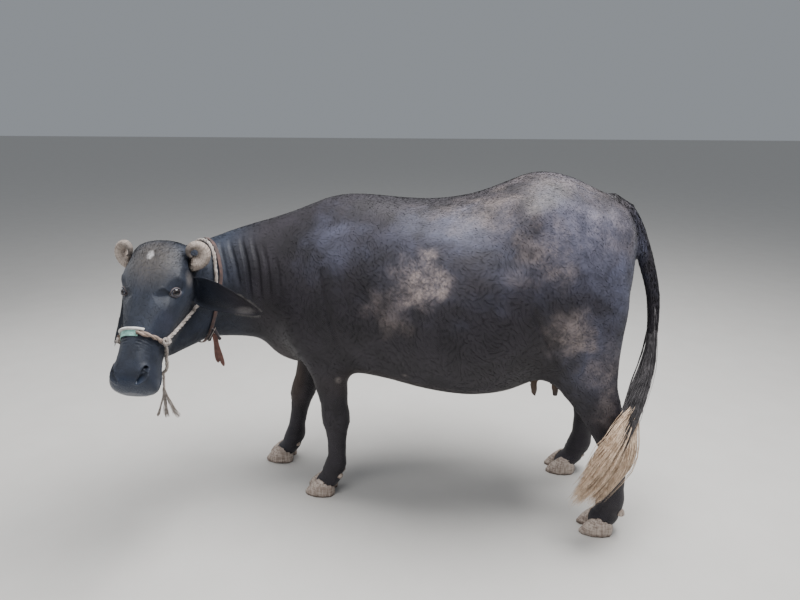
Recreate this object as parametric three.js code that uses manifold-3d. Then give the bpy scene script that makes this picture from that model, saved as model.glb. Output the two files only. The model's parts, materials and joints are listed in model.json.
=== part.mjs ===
// A water buffalo cow with short curled horns, standing with her head turned back to her left.
// Life size, in millimetres, +Z up. She faces -X, her left side is -Y, and her claws stand on Z = 0.
import * as THREE from "three";
import { mergeVertices } from "three/addons/utils/BufferGeometryUtils.js";
import Module from "manifold-3d";

const wasm = await Module();
wasm.setup();

// Driving sizes of the animal
const GAP = 0.35; // what touching pieces keep between them
const HIP_HEIGHT = 1338;
const WITHERS_HEIGHT = 1250;
const BACK_HEIGHT = 1230;
const BELLY_HEIGHT = 500;
const CHEST_FLOOR = 545;
const BELLY_HALF = 366;
const CHEST_HALF = 246;
const CHEST_X = -655;
const RUMP_X = 695;
const FOOT_TOP = 38; // where the flesh of a foot ends inside its claws

// The head hangs from this point between the horns
const POLL = new THREE.Vector3(-935, -343, 1118);
const HEAD_TURN = THREE.MathUtils.degToRad(92); // from straight ahead towards her left
const HEAD_DROP = THREE.MathUtils.degToRad(46); // of the line of the face below level
const HEAD_LENGTH = 505;
const EYE_RADIUS = 20;
const EYE_AT = 176; // forward from the poll
const EYE_ANGLE = 64; // round the head from the middle of the face
const EAR_LENGTH = 260;
const EAR_HALF = 54;
const HORN_RADIUS = 25;
const HORN_COIL = 40;
const HORN_TIP_COIL = 14;
const ROPE_RADIUS = 6.5;
const BAND_WIDTH = 24;
const TASSEL_RADIUS = 4.5;

// How many sides the rings of the main bodies have
const TORSO_SIDES = 25;
const NECK_SIDES = 21;
const HEAD_SIDES = 25;
const LEG_SIDES = 13;
const CLAW_SIDES = 10;
const KNOT_SIDES = 8;

const vec = (x, y, z) => new THREE.Vector3(x, y, z);
const mix = THREE.MathUtils.lerp;
const SIDES = { left: -1, right: 1 };

// Finishes
const finish = (color, roughness) => new THREE.MeshStandardMaterial({ color, roughness, metalness: 0 });
const hide = finish(0x33343a, 0.6);
const udderSkin = finish(0x5a4640, 0.6);
const hornFinish = finish(0xa89c8c, 0.65);
const clawFinish = finish(0x9a8f80, 0.6);
const eyeFinish = finish(0x14100e, 0.1);
const blackHair = finish(0x26272b, 0.7);
const paleHair = finish(0xc8a77c, 0.8);
const ropeFinish = finish(0xb3a898, 0.9);
const bandFinish = finish(0xcfe5dc, 0.6);
const strapFinish = finish(0x7a4a3a, 0.8);

// Smooth columns of sizes: each row is a place followed by its sizes, and the curve never overshoots them
function smoothTable(rows) {
  const slope = (i, c) => (rows[i + 1][c] - rows[i][c]) / (rows[i + 1][0] - rows[i][0]);
  const tangent = (i, c) => {
    if (i === 0 || i === rows.length - 1) return slope(Math.min(i, rows.length - 2), c);
    const [before, after] = [slope(i - 1, c), slope(i, c)];
    return before * after <= 0 ? 0 : (2 * before * after) / (before + after);
  };
  return (at) => {
    let i = 0;
    while (i < rows.length - 2 && at > rows[i + 1][0]) i++;
    const width = rows[i + 1][0] - rows[i][0];
    const t = THREE.MathUtils.clamp((at - rows[i][0]) / width, 0, 1);
    return rows[0].slice(1).map((_, k) => {
      const c = k + 1;
      const [a, b] = [rows[i][c], rows[i + 1][c]];
      const [ta, tb] = [tangent(i, c) * width, tangent(i + 1, c) * width];
      return a + t * (ta + t * (3 * (b - a) - 2 * ta - tb + t * (2 * (a - b) + ta + tb)));
    });
  };
}

// Places from the first row to the last, with the same number of steps between each two rows
function placesOf(rows, steps) {
  const between = (from, to) => Array.from({ length: steps }, (_, k) => mix(from, to, k / steps));
  const places = rows.slice(1).flatMap((row, i) => between(rows[i][0], row[0]));
  return [...places, rows.at(-1)[0]];
}

// One closed body through rings of points, each ring closed by a fan at the two ends
function loft(rings) {
  const count = rings[0].length;
  const points = rings.flat();
  const middles = [rings[0], rings.at(-1)].map((ring) =>
    ring.reduce((sum, p) => sum.add(p), vec(0, 0, 0)).divideScalar(count));
  points.push(...middles);
  const faces = [];
  for (let r = 0; r + 1 < rings.length; r++)
    for (let i = 0; i < count; i++) {
      const [a, b] = [r * count + i, r * count + ((i + 1) % count)];
      if ((r + i) % 2) faces.push(a, b, b + count, a, b + count, a + count);
      else faces.push(a, b, a + count, b, b + count, a + count);
    }
  const [first, last] = [points.length - 2, points.length - 1];
  const top = (rings.length - 1) * count;
  for (let i = 0; i < count; i++) {
    const next = (i + 1) % count;
    faces.push(first, next, i, last, top + i, top + next);
  }
  const geometry = new THREE.BufferGeometry().setFromPoints(points);
  geometry.setIndex(faces);
  return solid(geometry);
}

// A closed geometry as a solid, turned right side out where needed
function solid(geometry) {
  const bare = geometry.clone();
  for (const name of ["normal", "uv"]) bare.deleteAttribute(name);
  const merged = mergeVertices(bare, 1e-3);
  const build = (index) =>
    new wasm.Manifold(new wasm.Mesh({
      numProp: 3,
      vertProperties: new Float32Array(merged.attributes.position.array),
      triVerts: new Uint32Array(index),
    }));
  const index = [...merged.index.array];
  const made = build(index);
  return made.volume() > 0 ? made : build(index.reverse());
}

const join = (pieces) => pieces.reduce((whole, piece) => whole.add(piece));
const largest = (body) => body.decompose().reduce((a, b) => (b.volume() > a.volume() ? b : a));

// The vertices and neighbours of a solid
function openUp(body) {
  const mesh = body.getMesh();
  const points = [];
  for (let i = 0; i < mesh.numVert; i++) {
    const k = i * mesh.numProp;
    points.push(vec(mesh.vertProperties[k], mesh.vertProperties[k + 1], mesh.vertProperties[k + 2]));
  }
  return { points, faces: [...mesh.triVerts] };
}

const closeUp = ({ points, faces }) =>
  solid(new THREE.BufferGeometry().setFromPoints(points).setIndex(faces));

// The same solid, a hair larger all round, to cut its neighbours back from it
function grow(body, by) {
  const { points, faces } = openUp(body);
  const normals = points.map(() => vec(0, 0, 0));
  for (let i = 0; i < faces.length; i += 3) {
    const [a, b, c] = faces.slice(i, i + 3);
    const face = points[b].clone().sub(points[a]).cross(points[c].clone().sub(points[a])).normalize();
    for (const [v, n, m] of [[a, b, c], [b, c, a], [c, a, b]]) {
      const corner = points[n].clone().sub(points[v]).angleTo(points[m].clone().sub(points[v]));
      normals[v].addScaledVector(face, corner);
    }
  }
  const moved = points.map((p, i) => p.clone().addScaledVector(normals[i].normalize(), by));
  return closeUp({ points: moved, faces });
}

// Skin drawn smooth over the folds where limbs join: each seam is a place and how far it reaches
function relax(body, seams, rounds) {
  const { points, faces } = openUp(body);
  const around = points.map(() => new Set());
  for (let i = 0; i < faces.length; i += 3)
    for (const [a, b] of [[0, 1], [1, 2], [2, 0]]) {
      around[faces[i + a]].add(faces[i + b]);
      around[faces[i + b]].add(faces[i + a]);
    }
  const share = points.map((p) => {
    const near = seams.map(({ at, reach }) => Math.exp(-(((p.distanceTo(at)) / reach) ** 4)));
    return 0.6 * Math.max(...near);
  });
  let now = points;
  for (let round = 0; round < rounds; round++)
    now = now.map((p, i) => {
      if (share[i] < 0.01) return p;
      const mean = vec(0, 0, 0);
      around[i].forEach((k) => mean.add(now[k]));
      return p.clone().lerp(mean.divideScalar(around[i].size), share[i]);
    });
  return closeUp({ points: now, faces });
}

// A rounded ring as pairs of [across, up], with its own reach and boxiness above and below
function oval(sides, half, rise, drop, boxUp, boxDown) {
  return Array.from({ length: sides }, (_, i) => {
    const angle = (i / sides) * 2 * Math.PI;
    return ovalPoint(angle, half, rise, drop, boxUp, boxDown);
  });
}

function ovalPoint(angle, half, rise, drop, boxUp, boxDown) {
  const [s, c] = [Math.sin(angle), Math.cos(angle)];
  const power = 2 / (c > 0 ? boxUp : boxDown);
  const bend = (v) => Math.sign(v) * Math.abs(v) ** power;
  return [half * bend(s), (c > 0 ? rise : drop) * bend(c)];
}

// Bones and muscles under the skin: each lifts or sinks it round a place, on both sides
function swell(point, centre, bumps) {
  const out = point.clone().sub(centre).normalize();
  let lift = 0;
  for (const [x, y, z, sx, sy, sz, rise] of bumps) {
    const away = ((point.x - x) / sx) ** 2 + ((Math.abs(point.y) - y) / sy) ** 2 + ((point.z - z) / sz) ** 2;
    lift += rise * Math.exp(-away);
  }
  return point.clone().addScaledVector(out, lift);
}

// The torso, from chest to rump
const TORSO = [
  // place, top, floor, half width, height of the widest line, boxiness above, below
  [CHEST_X, 900, 690, 66, 800, 2, 2],
  [CHEST_X + 35, 1060, 610, 135, 800, 2, 2],
  [-540, 1180, 562, 190, 805, 2, 2],
  [-440, 1238, CHEST_FLOOR, 225, 815, 1.9, 2.1],
  [-330, WITHERS_HEIGHT, CHEST_FLOOR - 5, CHEST_HALF, 830, 1.85, 2.2],
  [-190, 1238, 530, 290, 835, 1.95, 2.2],
  [-50, BACK_HEIGHT, 508, 335, 815, 2.05, 2.2],
  [110, 1252, BELLY_HEIGHT, BELLY_HALF, 805, 2.1, 2.2],
  [240, 1302, 512, 350, 825, 2.2, 2.2],
  [340, HIP_HEIGHT - 2, 545, 322, 860, 2.3, 2.2],
  [430, 1326, 600, 288, 900, 2.35, 2.2],
  [530, 1286, 655, 244, 930, 2.35, 2.2],
  [620, 1236, 720, 190, 960, 2.3, 2.2],
  [668, 1180, 800, 130, 985, 2.2, 2.1],
  [RUMP_X, 1100, 900, 62, 1000, 2, 2],
];
const TORSO_BUMPS = [
  [318, 262, 1206, 62, 52, 50, 30], // hook bones
  [672, 98, 1130, 46, 42, 46, 22], // pin bones
  [-400, 190, 1090, 80, 70, 170, 12], // shoulder blades
  [-565, 160, 800, 80, 70, 90, 18], // points of the shoulder
  [190, 300, 1130, 105, 95, 80, -24], // hollows of the flank
  [-262, 240, 900, 45, 80, 190, -12], // behind the shoulder
  [520, 110, 1262, 90, 55, 50, -14], // beside the tail bone
  [470, 240, 1120, 80, 90, 80, -12], // between hook and pin
  [90, 350, 720, 210, 90, 150, 10], // the paunch
  [-575, 0, 575, 80, 60, 60, 24], // brisket
  [-60, 250, 1130, 160, 80, 60, 8], // spring of the ribs
];

function makeTorso() {
  const sizes = smoothTable(TORSO);
  return loft(placesOf(TORSO, 2).map((x) => {
    const [top, floor, half, wide, boxUp, boxDown] = sizes(x);
    const centre = vec(x, 0, wide);
    return oval(TORSO_SIDES, half, top - wide, wide - floor, boxUp, boxDown)
      .map(([across, up]) => swell(vec(x, across, wide + up), centre, TORSO_BUMPS));
  }));
}

// The neck, bent to her left
const NECK_LINE = new THREE.CatmullRomCurve3([
  vec(-350, 0, 915), vec(-530, 0, 905), vec(-690, -32, 903),
  vec(-820, -98, 900), vec(-900, -190, 930), vec(-936, -285, 985),
]);
const NECK = [
  // share of the way, half height, half width
  [0, 250, 120],
  [0.2, 292, 165],
  [0.42, 246, 152],
  [0.62, 212, 132],
  [0.82, 165, 112],
  [1, 120, 92],
];

// The loose skin of the throat, from under the neck to the jaw
const THROAT = [
  // x, y, height of the middle, half height, half width
  [-790, -90, 830, 108, 95], [-860, -160, 826, 112, 88], [-900, -250, 808, 110, 66],
  [-918, -330, 792, 96, 50], [-924, -390, 775, 76, 40], [-927, -440, 768, 44, 28], [-928, -474, 766, 12, 12],
];
function makeThroat() {
  return loft(THROAT.map(([x, y, z, half, width], i) => {
    const [before, after] = [THROAT[Math.max(i - 1, 0)], THROAT[Math.min(i + 1, THROAT.length - 1)]];
    const along = vec(after[0] - before[0], after[1] - before[1], 0).normalize();
    const across = vec(0, 0, 1).cross(along);
    return oval(14, width, half, half, 2, 2)
      .map(([a, b]) => vec(x, y, z + b).addScaledVector(across, a));
  }));
}

function makeNeck() {
  const sizes = smoothTable(NECK);
  return loft(placesOf(NECK, 3).map((t) => {
    const [half, width] = sizes(t);
    const centre = NECK_LINE.getPoint(t);
    const along = NECK_LINE.getTangent(t);
    const across = vec(0, 0, 1).cross(along).normalize();
    const up = along.clone().cross(across).normalize();
    return oval(NECK_SIDES, width, half, half, 1.85, 1.9)
      .map(([a, b]) => centre.clone().addScaledVector(across, a).addScaledVector(up, b));
  }));
}

// The head's own frame: forward along the face, to her left, and up from the face
const LEVEL = Math.cos(HEAD_DROP);
const FORWARD = vec(-Math.cos(HEAD_TURN) * LEVEL, -Math.sin(HEAD_TURN) * LEVEL, -Math.sin(HEAD_DROP));
const LEFT = vec(0, 0, 1).cross(FORWARD).normalize();
const UP = FORWARD.clone().cross(LEFT).normalize();
const onHead = (x, y, z) =>
  POLL.clone().addScaledVector(FORWARD, x).addScaledVector(LEFT, y).addScaledVector(UP, z);

// The head, from the back of the skull to the muzzle
const HEAD = [
  // place, top, floor, half width, height of the widest line, boxiness above, below
  [-36, -50, -125, 52, -88, 2, 2],
  [-24, -26, -165, 84, -86, 2.1, 2],
  [0, 1, -204, 104, -80, 2.2, 2],
  [45, 17, -228, 111, -74, 2.3, 2],
  [100, 20, -242, 110, -70, 2.3, 2],
  [155, 16, -242, 106, -66, 2.15, 2],
  [210, 10, -232, 94, -70, 2.2, 2.1],
  [265, 5, -214, 80, -76, 2.4, 2.2],
  [315, 2, -194, 68, -80, 2.4, 2.3],
  [365, -3, -173, 61, -84, 2.3, 2.4],
  [410, -10, -153, 63, -86, 2.3, 2.4],
  [445, -19, -150, 72, -88, 2.3, 2.4],
  [475, -33, -147, 75, -90, 2.3, 2.3],
  [495, -52, -138, 66, -93, 2.2, 2.2],
  [HEAD_LENGTH, -74, -122, 40, -97, 2, 2],
];
const HEAD_BUMPS = [
  [124, 98, -26, 36, 24, 22, 15], // brows
  [212, 84, -78, 60, 30, 20, 9], // cheek bones
  [120, 88, -150, 66, 44, 52, 9], // jaw muscles
  [84, 108, -52, 34, 24, 26, -11], // temples
  [285, 66, -46, 50, 28, 24, -5], // beside the bridge of the nose
  [452, 44, -40, 24, 22, 20, 8], // nostril wings
  [440, 58, -132, 40, 24, 22, 6], // lips
  [448, 0, -150, 34, 34, 16, 9], // chin
  [345, 52, -150, 50, 24, 24, -6], // behind the lips
];
const headSizes = smoothTable(HEAD);

// A point on the head's skin, in the head's own frame
// Angle 0 is the middle of the face, and 90 degrees her left cheek
function headSkin(at, angle, proud = 0) {
  const [top, floor, half, wide, boxUp, boxDown] = headSizes(at);
  const [a, b] = ovalPoint(angle, half, top - wide, wide - floor, boxUp, boxDown);
  const centre = vec(at, 0, wide);
  const skin = swell(vec(at, a, wide + b), centre, HEAD_BUMPS);
  return skin.addScaledVector(skin.clone().sub(centre).normalize(), proud);
}
const onSkin = (at, degrees, proud = 0) =>
  onHead(...headSkin(at, THREE.MathUtils.degToRad(degrees), proud).toArray());

function makeHead() {
  return loft(placesOf(HEAD, 2).map((at) =>
    Array.from({ length: HEAD_SIDES }, (_, i) => onSkin(at, (i / HEAD_SIDES) * 360))));
}

// The legs, from inside the body down to the claws
const FORELEG = [
  // height, half depth, half width
  [930, 92, 48], [830, 118, 72], [720, 122, 84], [630, 104, 76], [565, 86, 62], [500, 66, 50],
  [430, 55, 47], [385, 58, 52], [345, 57, 53], [305, 46, 44], [250, 39, 36], [180, 38, 36],
  [140, 46, 45], [112, 48, 48], [88, 45, 46], [66, 52, 51], [FOOT_TOP, 48, 46],
];
const HINDLEG = [
  // height, half depth, half width
  [1090, 130, 60], [990, 168, 92], [880, 184, 106], [770, 178, 104], [670, 156, 94], [590, 124, 78],
  [530, 96, 64], [480, 86, 54], [435, 84, 50], [390, 70, 47], [340, 53, 41], [270, 44, 36], [190, 43, 36],
  [145, 51, 45], [115, 51, 47], [88, 46, 45], [66, 53, 51], [FOOT_TOP, 49, 46],
];
// Where the middle of each limb passes: height, fore and aft place, sideways place
const LEGS = {
  front_left: { shape: FORELEG, side: SIDES.left, cut: 515, line: [
    [930, -455, -138], [760, -452, -160], [600, -424, -150], [480, -408, -126], [350, -402, -108],
    [180, -408, -92], [112, -424, -86], [FOOT_TOP, -460, -85]] },
  front_right: { shape: FORELEG, side: SIDES.right, cut: 515, line: [
    [930, -470, 140], [760, -492, 158], [600, -530, 150], [480, -568, 140], [350, -606, 132],
    [180, -645, 136], [112, -662, 138], [FOOT_TOP, -706, 138]] },
  hind_left: { shape: HINDLEG, side: SIDES.left, cut: 565, line: [
    [1090, 498, -126], [900, 500, -160], [720, 502, -178], [600, 536, -188], [500, 592, -194],
    [420, 645, -198], [300, 668, -196], [180, 672, -194], [112, 668, -192], [FOOT_TOP, 644, -192]] },
  hind_right: { shape: HINDLEG, side: SIDES.right, cut: 565, line: [
    [1090, 498, 126], [900, 500, 160], [720, 498, 178], [600, 510, 188], [500, 556, 196],
    [420, 606, 202], [300, 625, 206], [180, 622, 206], [112, 606, 206], [FOOT_TOP, 560, 206]] },
};

function makeLeg({ shape, line }) {
  const sizes = smoothTable(shape.map(([height, ...rest]) => [-height, ...rest]));
  const middle = smoothTable(line.map(([height, ...rest]) => [-height, ...rest]));
  const places = placesOf(shape.map(([height]) => [-height]), 1);
  return loft(places.map((down) => {
    const [depth, width] = sizes(down);
    const [x, y] = middle(down);
    return oval(LEG_SIDES, width, depth, depth, 2, 2).map(([a, b]) => vec(x + b, y + a, -down));
  }));
}

// The tail bone and its skin, hanging out behind the rump and swinging to her left
const TAIL_LINE = new THREE.CatmullRomCurve3([
  vec(560, 0, 1215), vec(618, 0, 1216), vec(672, -5, 1158), vec(716, -10, 1079), vec(747, -20, 997),
  vec(770, -35, 912), vec(778, -52, 829), vec(775, -76, 747), vec(764, -108, 672), vec(744, -150, 610),
  vec(718, -195, 556), vec(688, -245, 498), vec(660, -284, 440), vec(628, -305, 372), vec(588, -315, 303),
  vec(548, -322, 245),
]);
const TAIL_BONE_END = 0.685;
const TAIL = [
  // share of the way, radius
  [0, 44], [0.1, 40], [0.2, 30], [0.4, 22], [0.55, 17], [TAIL_BONE_END, 13],
];

function tubeAlong(curve, radii, places, sides, flat = 1) {
  const size = smoothTable(radii);
  return loft(places.map((t) => {
    const [radius] = size(t);
    const along = curve.getPointAt(t);
    const ahead = curve.getTangentAt(t);
    const across = ahead.clone().cross(vec(0, 1, 0.2)).normalize();
    const up = across.clone().cross(ahead).normalize();
    return oval(sides, radius, radius, radius, 2, 2)
      .map(([a, b]) => along.clone().addScaledVector(across, a).addScaledVector(up, flat * b));
  }));
}
const evenly = (from, to, steps) => Array.from({ length: steps + 1 }, (_, i) => mix(from, to, i / steps));

// Balls and stretched balls
function ball(at, radius, detail = 12) {
  const geometry = new THREE.SphereGeometry(radius, detail, Math.round(detail * 0.7));
  geometry.translate(at.x, at.y, at.z);
  return solid(geometry);
}
function pod(at, sizes, facing, detail = 12) {
  const geometry = new THREE.SphereGeometry(1, detail, Math.round(detail * 0.7));
  geometry.scale(...sizes);
  geometry.applyMatrix4(new THREE.Matrix4().makeBasis(...facing));
  geometry.translate(at.x, at.y, at.z);
  return solid(geometry);
}
// All the flesh in one, drawn smooth at the joints
const SEAMS = [
  { at: vec(-470, -150, 640), reach: 170 }, { at: vec(-480, 150, 640), reach: 170 },
  { at: vec(500, -180, 700), reach: 210 }, { at: vec(490, 180, 700), reach: 210 },
  { at: vec(510, -190, 990), reach: 190 }, { at: vec(510, 190, 990), reach: 190 },
  { at: vec(-450, -150, 900), reach: 170 }, { at: vec(-450, 150, 900), reach: 170 },
  { at: vec(-590, 0, 900), reach: 330 }, { at: vec(-910, -235, 990), reach: 150 },
  { at: vec(-610, 0, 680), reach: 190 }, { at: vec(-900, -300, 790), reach: 180 },
];
const limbs = Object.values(LEGS).map(makeLeg);
const brisket = pod(vec(-602, 8, 655), [126, 92, 116], [vec(1, 0, 0), vec(0, 1, 0), vec(0, 0, 1)], 14);
const wholeBody = join([makeTorso(), makeNeck(), makeThroat(), makeHead(), brisket, ...limbs]);
const flesh = relax(wholeBody, SEAMS, 5);

// Thin cuts part the flesh: a square sheet at a place, facing along a direction
function sheet(at, facing, width, height) {
  const geometry = new THREE.BoxGeometry(width, height, GAP);
  const turn = new THREE.Quaternion().setFromUnitVectors(vec(0, 0, 1), facing.clone().normalize());
  geometry.applyQuaternion(turn);
  geometry.translate(at.x, at.y, at.z);
  return solid(geometry);
}
const cuts = Object.values(LEGS).map(({ line, cut }) => {
  const [x, y] = smoothTable(line.map(([height, ...rest]) => [-height, ...rest]))(-cut);
  return sheet(vec(x, y, cut), vec(0, 0, 1), 330, 260);
});
cuts.push(sheet(vec(-610, -8, 900), vec(-1, -0.16, -0.06), 800, 800));
cuts.push(sheet(vec(-922, -212, 940), vec(-0.3, -0.95, 0.1), 700, 700));
const parts = cuts.reduce((whole, cut) => whole.subtract(cut), flesh).decompose();

// The part of the flesh whose box is centred nearest to a place
function fleshAt(place) {
  const away = (body) => {
    const { min, max } = body.boundingBox();
    return vec(...min).add(vec(...max)).multiplyScalar(0.5).distanceTo(place);
  };
  return parts.reduce((a, b) => (away(b) < away(a) ? b : a));
}

const buffalo = new THREE.Group();
buffalo.name = "water_buffalo";
const built = [];

function add(name, body, material) {
  const { points, faces } = openUp(largest(body));
  const geometry = new THREE.BufferGeometry().setFromPoints(points).setIndex(faces);
  geometry.computeVertexNormals();
  const mesh = new THREE.Mesh(geometry, material);
  mesh.name = name;
  buffalo.add(mesh);
  built.push(mesh);
}

const torso = fleshAt(vec(20, 0, 900));
const neck = fleshAt(vec(-760, -130, 900));
const bareHead = fleshAt(onHead(230, 0, -90));
add("torso", torso, hide);
add("neck", neck, hide);

// Each eye looks forward, outward and up from the face, and is set deep in the skin
function eyeOf(side) {
  const gaze = vec(0.34, -side * 0.7, 0.62).normalize();
  const skin = headSkin(EYE_AT, THREE.MathUtils.degToRad(-side * EYE_ANGLE));
  const at = skin.clone().addScaledVector(gaze, 2 - EYE_RADIUS);
  const [outward, along] = [gaze, vec(0.9, 0, -0.2)].map((v) =>
    onHead(...v.toArray()).sub(POLL).normalize());
  const across = outward.clone().cross(along).normalize();
  return { centre: onHead(...at.toArray()), outward, along: across.clone().cross(outward), across };
}

function cutFace(head) {
  let face = head;
  for (const side of Object.values(SIDES)) {
    const { centre, outward, along, across } = eyeOf(side);
    const facing = [along, across, outward];
    const lids = pod(centre, [EYE_RADIUS + 13, EYE_RADIUS + 8, EYE_RADIUS + 4.5], facing, 14);
    const slit = pod(centre.clone().addScaledVector(outward, 22), [20, 12.5, 16], facing, 12);
    face = face.add(lids).subtract(ball(centre, EYE_RADIUS + GAP)).subtract(slit);
    // Each nostril is a comma: wide above and outside, with a tail down towards the lip
    const comma = new THREE.CatmullRomCurve3(
      [[438, 46], [450, 41], [464, 37], [482, 24]].map(([at, degrees]) => onSkin(at, -side * degrees, -2)));
    face = face.subtract(tubeAlong(comma, [[0, 6], [0.3, 12], [0.6, 10], [1, 5]], evenly(0, 1, 8), 8));
  }
  // The line of the mouth runs from one corner round the front to the other
  const lip = (t) => {
    const round = Math.abs(2 * t - 1);
    const at = mix(HEAD_LENGTH - 12, 385, round ** 1.8);
    const degrees = mix(180, 118, Math.min(1, round * 2.4) ** 0.7) * Math.sign(t - 0.5 || 1);
    return onSkin(at, degrees, -1);
  };
  const line = new THREE.CatmullRomCurve3(evenly(0.02, 0.98, 16).map(lip));
  const groove = [[0, 1.5], [0.2, 3.6], [0.8, 3.6], [1, 1.5]];
  return face.subtract(tubeAlong(line, groove, evenly(0, 1, 16), 4));
}
const head = cutFace(bareHead);
add("head", head, hide);
for (const [name, side] of Object.entries(SIDES)) {
  add(`eye_${name}`, ball(eyeOf(side).centre, EYE_RADIUS), eyeFinish);
}

// Ears are long leaves, rolled to a funnel at the root and cupped open along their length
const EAR = [
  // share of the length, half width, depth of the cup, thickness
  [0, 34, 26, 9], [0.14, EAR_HALF - 3, 34, 8], [0.34, EAR_HALF, 32, 7], [0.55, 45, 24, 6.5],
  [0.78, 31, 14, 5.5], [0.93, 18, 7, 4.5], [1, 7, 2, 3],
];
const EARS = {
  left: {
    root: onHead(88, 96, -138),
    along: vec(0.88, -0.17, -0.22),
    open: vec(0.28, -0.95, -0.12),
    bend: vec(0, 0, -18),
  },
  right: {
    root: onHead(70, -96, -118),
    along: vec(-0.3, -0.16, -0.94),
    open: vec(-0.8, -0.6, 0.05),
    bend: vec(-34, 0, 0),
  },
};
const nearHead = grow(head, GAP);
const nearNeck = grow(neck, GAP);

function makeEar({ root, along, open, bend }) {
  const sizes = smoothTable(EAR);
  const ahead = along.clone().normalize();
  const across = open.clone().cross(ahead).normalize();
  const out = ahead.clone().cross(across).normalize();
  const columns = 6;
  return loft(placesOf(EAR, 2).map((t) => {
    const [half, depth, thick] = sizes(t);
    const middle = root.clone().addScaledVector(ahead, t * EAR_LENGTH).addScaledVector(bend, t * t);
    const place = (c, back) => {
      const roll = c * mix(1.5, 1.15, t);
      const a = (half * Math.sin(roll)) / Math.sin(mix(1.5, 1.15, t));
      const b = depth * (1 - Math.cos(roll)) * 1.3 - (back ? thick * (1 - 0.75 * Math.abs(c)) : 0);
      return middle.clone().addScaledVector(across, a).addScaledVector(out, b);
    };
    const front = evenly(-1, 1, columns).map((c) => place(c, false));
    const back = evenly(1, -1, columns).slice(1, -1).map((c) => place(c, true));
    return [...front, ...back];
  }));
}

// Horns are short flat coils that sweep out, up and in again, tip inside the ring
const HORNS = {
  left: { root: onHead(36, 70, -74), centre: onHead(20, 115, -36), out: vec(0.86, 0.45, 0.05) },
  right: { root: onHead(36, -70, -74), centre: onHead(20, -115, -36), out: vec(-0.93, 0.2, 0.1) },
};
function makeHorn({ root, centre, out }) {
  const sideways = out.clone().normalize();
  const rise = vec(0, 0, 1).addScaledVector(sideways, -sideways.z).normalize();
  const toward = sideways.clone().cross(rise).normalize();
  if (toward.y > 0) toward.negate();
  const coil = evenly(-1.75, 4.1, 13).map((angle, i, all) => {
    const t = i / (all.length - 1);
    const radius = mix(HORN_COIL, HORN_TIP_COIL, t ** 1.2);
    return centre.clone().addScaledVector(sideways, radius * Math.cos(angle))
      .addScaledVector(rise, radius * Math.sin(angle)).addScaledVector(toward, mix(-6, 20, t));
  });
  const line = new THREE.CatmullRomCurve3([root, ...coil]);
  const radii = [[0, HORN_RADIUS + 2], [0.25, HORN_RADIUS], [0.5, 21], [0.8, 13], [1, 4]];
  return tubeAlong(line, radii, evenly(0, 1, 25), 8);
}
for (const name of Object.keys(SIDES)) {
  add(`horn_${name}`, makeHorn(HORNS[name]).subtract(nearHead), hornFinish);
}
for (const name of Object.keys(SIDES)) {
  const horn = grow(makeHorn(HORNS[name]), GAP);
  add(`ear_${name}`, makeEar(EARS[name]).subtract(nearHead).subtract(nearNeck).subtract(horn), hide);
}

// Each claw is a wedge with a sloping toe, and its flat sole is on the ground
const CLAW = [
  // height, shift back, half length, half width
  [0, 0, 62, 27], [12, 1, 64, 31], [34, 8, 56, 31], [56, 18, 43, 28], [74, 26, 28, 20],
];
const CLAW_APART = 29;
function makeClaw(x, y, outward) {
  return loft(CLAW.map(([height, shift, length, width]) =>
    oval(CLAW_SIDES, width, length, length, 2.2, 1.8)
      .map(([a, b]) => vec(x + shift + b, y + a * (a * outward < 0 ? 0.86 : 1), height))));
}
for (const [name, { line, side, cut }] of Object.entries(LEGS)) {
  const [, x, y] = line.at(-1);
  const leg = fleshAt(vec(x + 10, y, cut / 2));
  const nearLeg = grow(leg, GAP);
  add(`leg_${name}`, leg, hide);
  for (const [place, apart] of [["outer", side], ["inner", -side]]) {
    const claw = makeClaw(x - 22, y + apart * CLAW_APART, apart);
    add(`claw_${name}_${place}`, claw.subtract(nearLeg), clawFinish);
    const spur = pod(vec(x + 60, y + apart * 24, 98), [22, 15, 18], [
      vec(0.8, 0, -0.6), vec(0, 1, 0), vec(0.6, 0, 0.8)], 7);
    add(`dewclaw_${name}_${place}`, spur.subtract(nearLeg), clawFinish);
  }
}

// The udder hangs between the thighs with its four teats
function makeUdder() {
  const bag = pod(vec(415, 0, 625), [150, 118, 92], [vec(1, 0, 0), vec(0, 1, 0), vec(0, 0, 1)], 10);
  const teats = [];
  for (const x of [372, 452])
    for (const y of [-52, 52]) teats.push(pod(vec(x, y, 524), [15, 15, 50], [
      vec(1, 0, 0.1), vec(0, 1, 0), vec(-0.1, 0, 1)], 7));
  return join([bag, ...teats]);
}
const nearTorso = grow(torso, 2 * GAP);
const hindLegs = ["hind_left", "hind_right"].map((name) => {
  const { line, cut } = LEGS[name];
  const [, x, y] = line.at(-1);
  return grow(fleshAt(vec(x + 10, y, cut / 2)), GAP);
});
const udder = hindLegs.reduce((bag, leg) => bag.subtract(leg), makeUdder().subtract(nearTorso));
add("udder", udder, udderSkin);

// The tail in its lengths: the bare dock, a length in black hair, and the pale switch
const TAIL_CUTS = [0.47, 0.69];
const tailCut = (t) => sheet(TAIL_LINE.getPointAt(t), TAIL_LINE.getTangentAt(t), 240, 240);
const tailBone = tubeAlong(TAIL_LINE, TAIL, evenly(0, TAIL_BONE_END, 18), 9);

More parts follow.
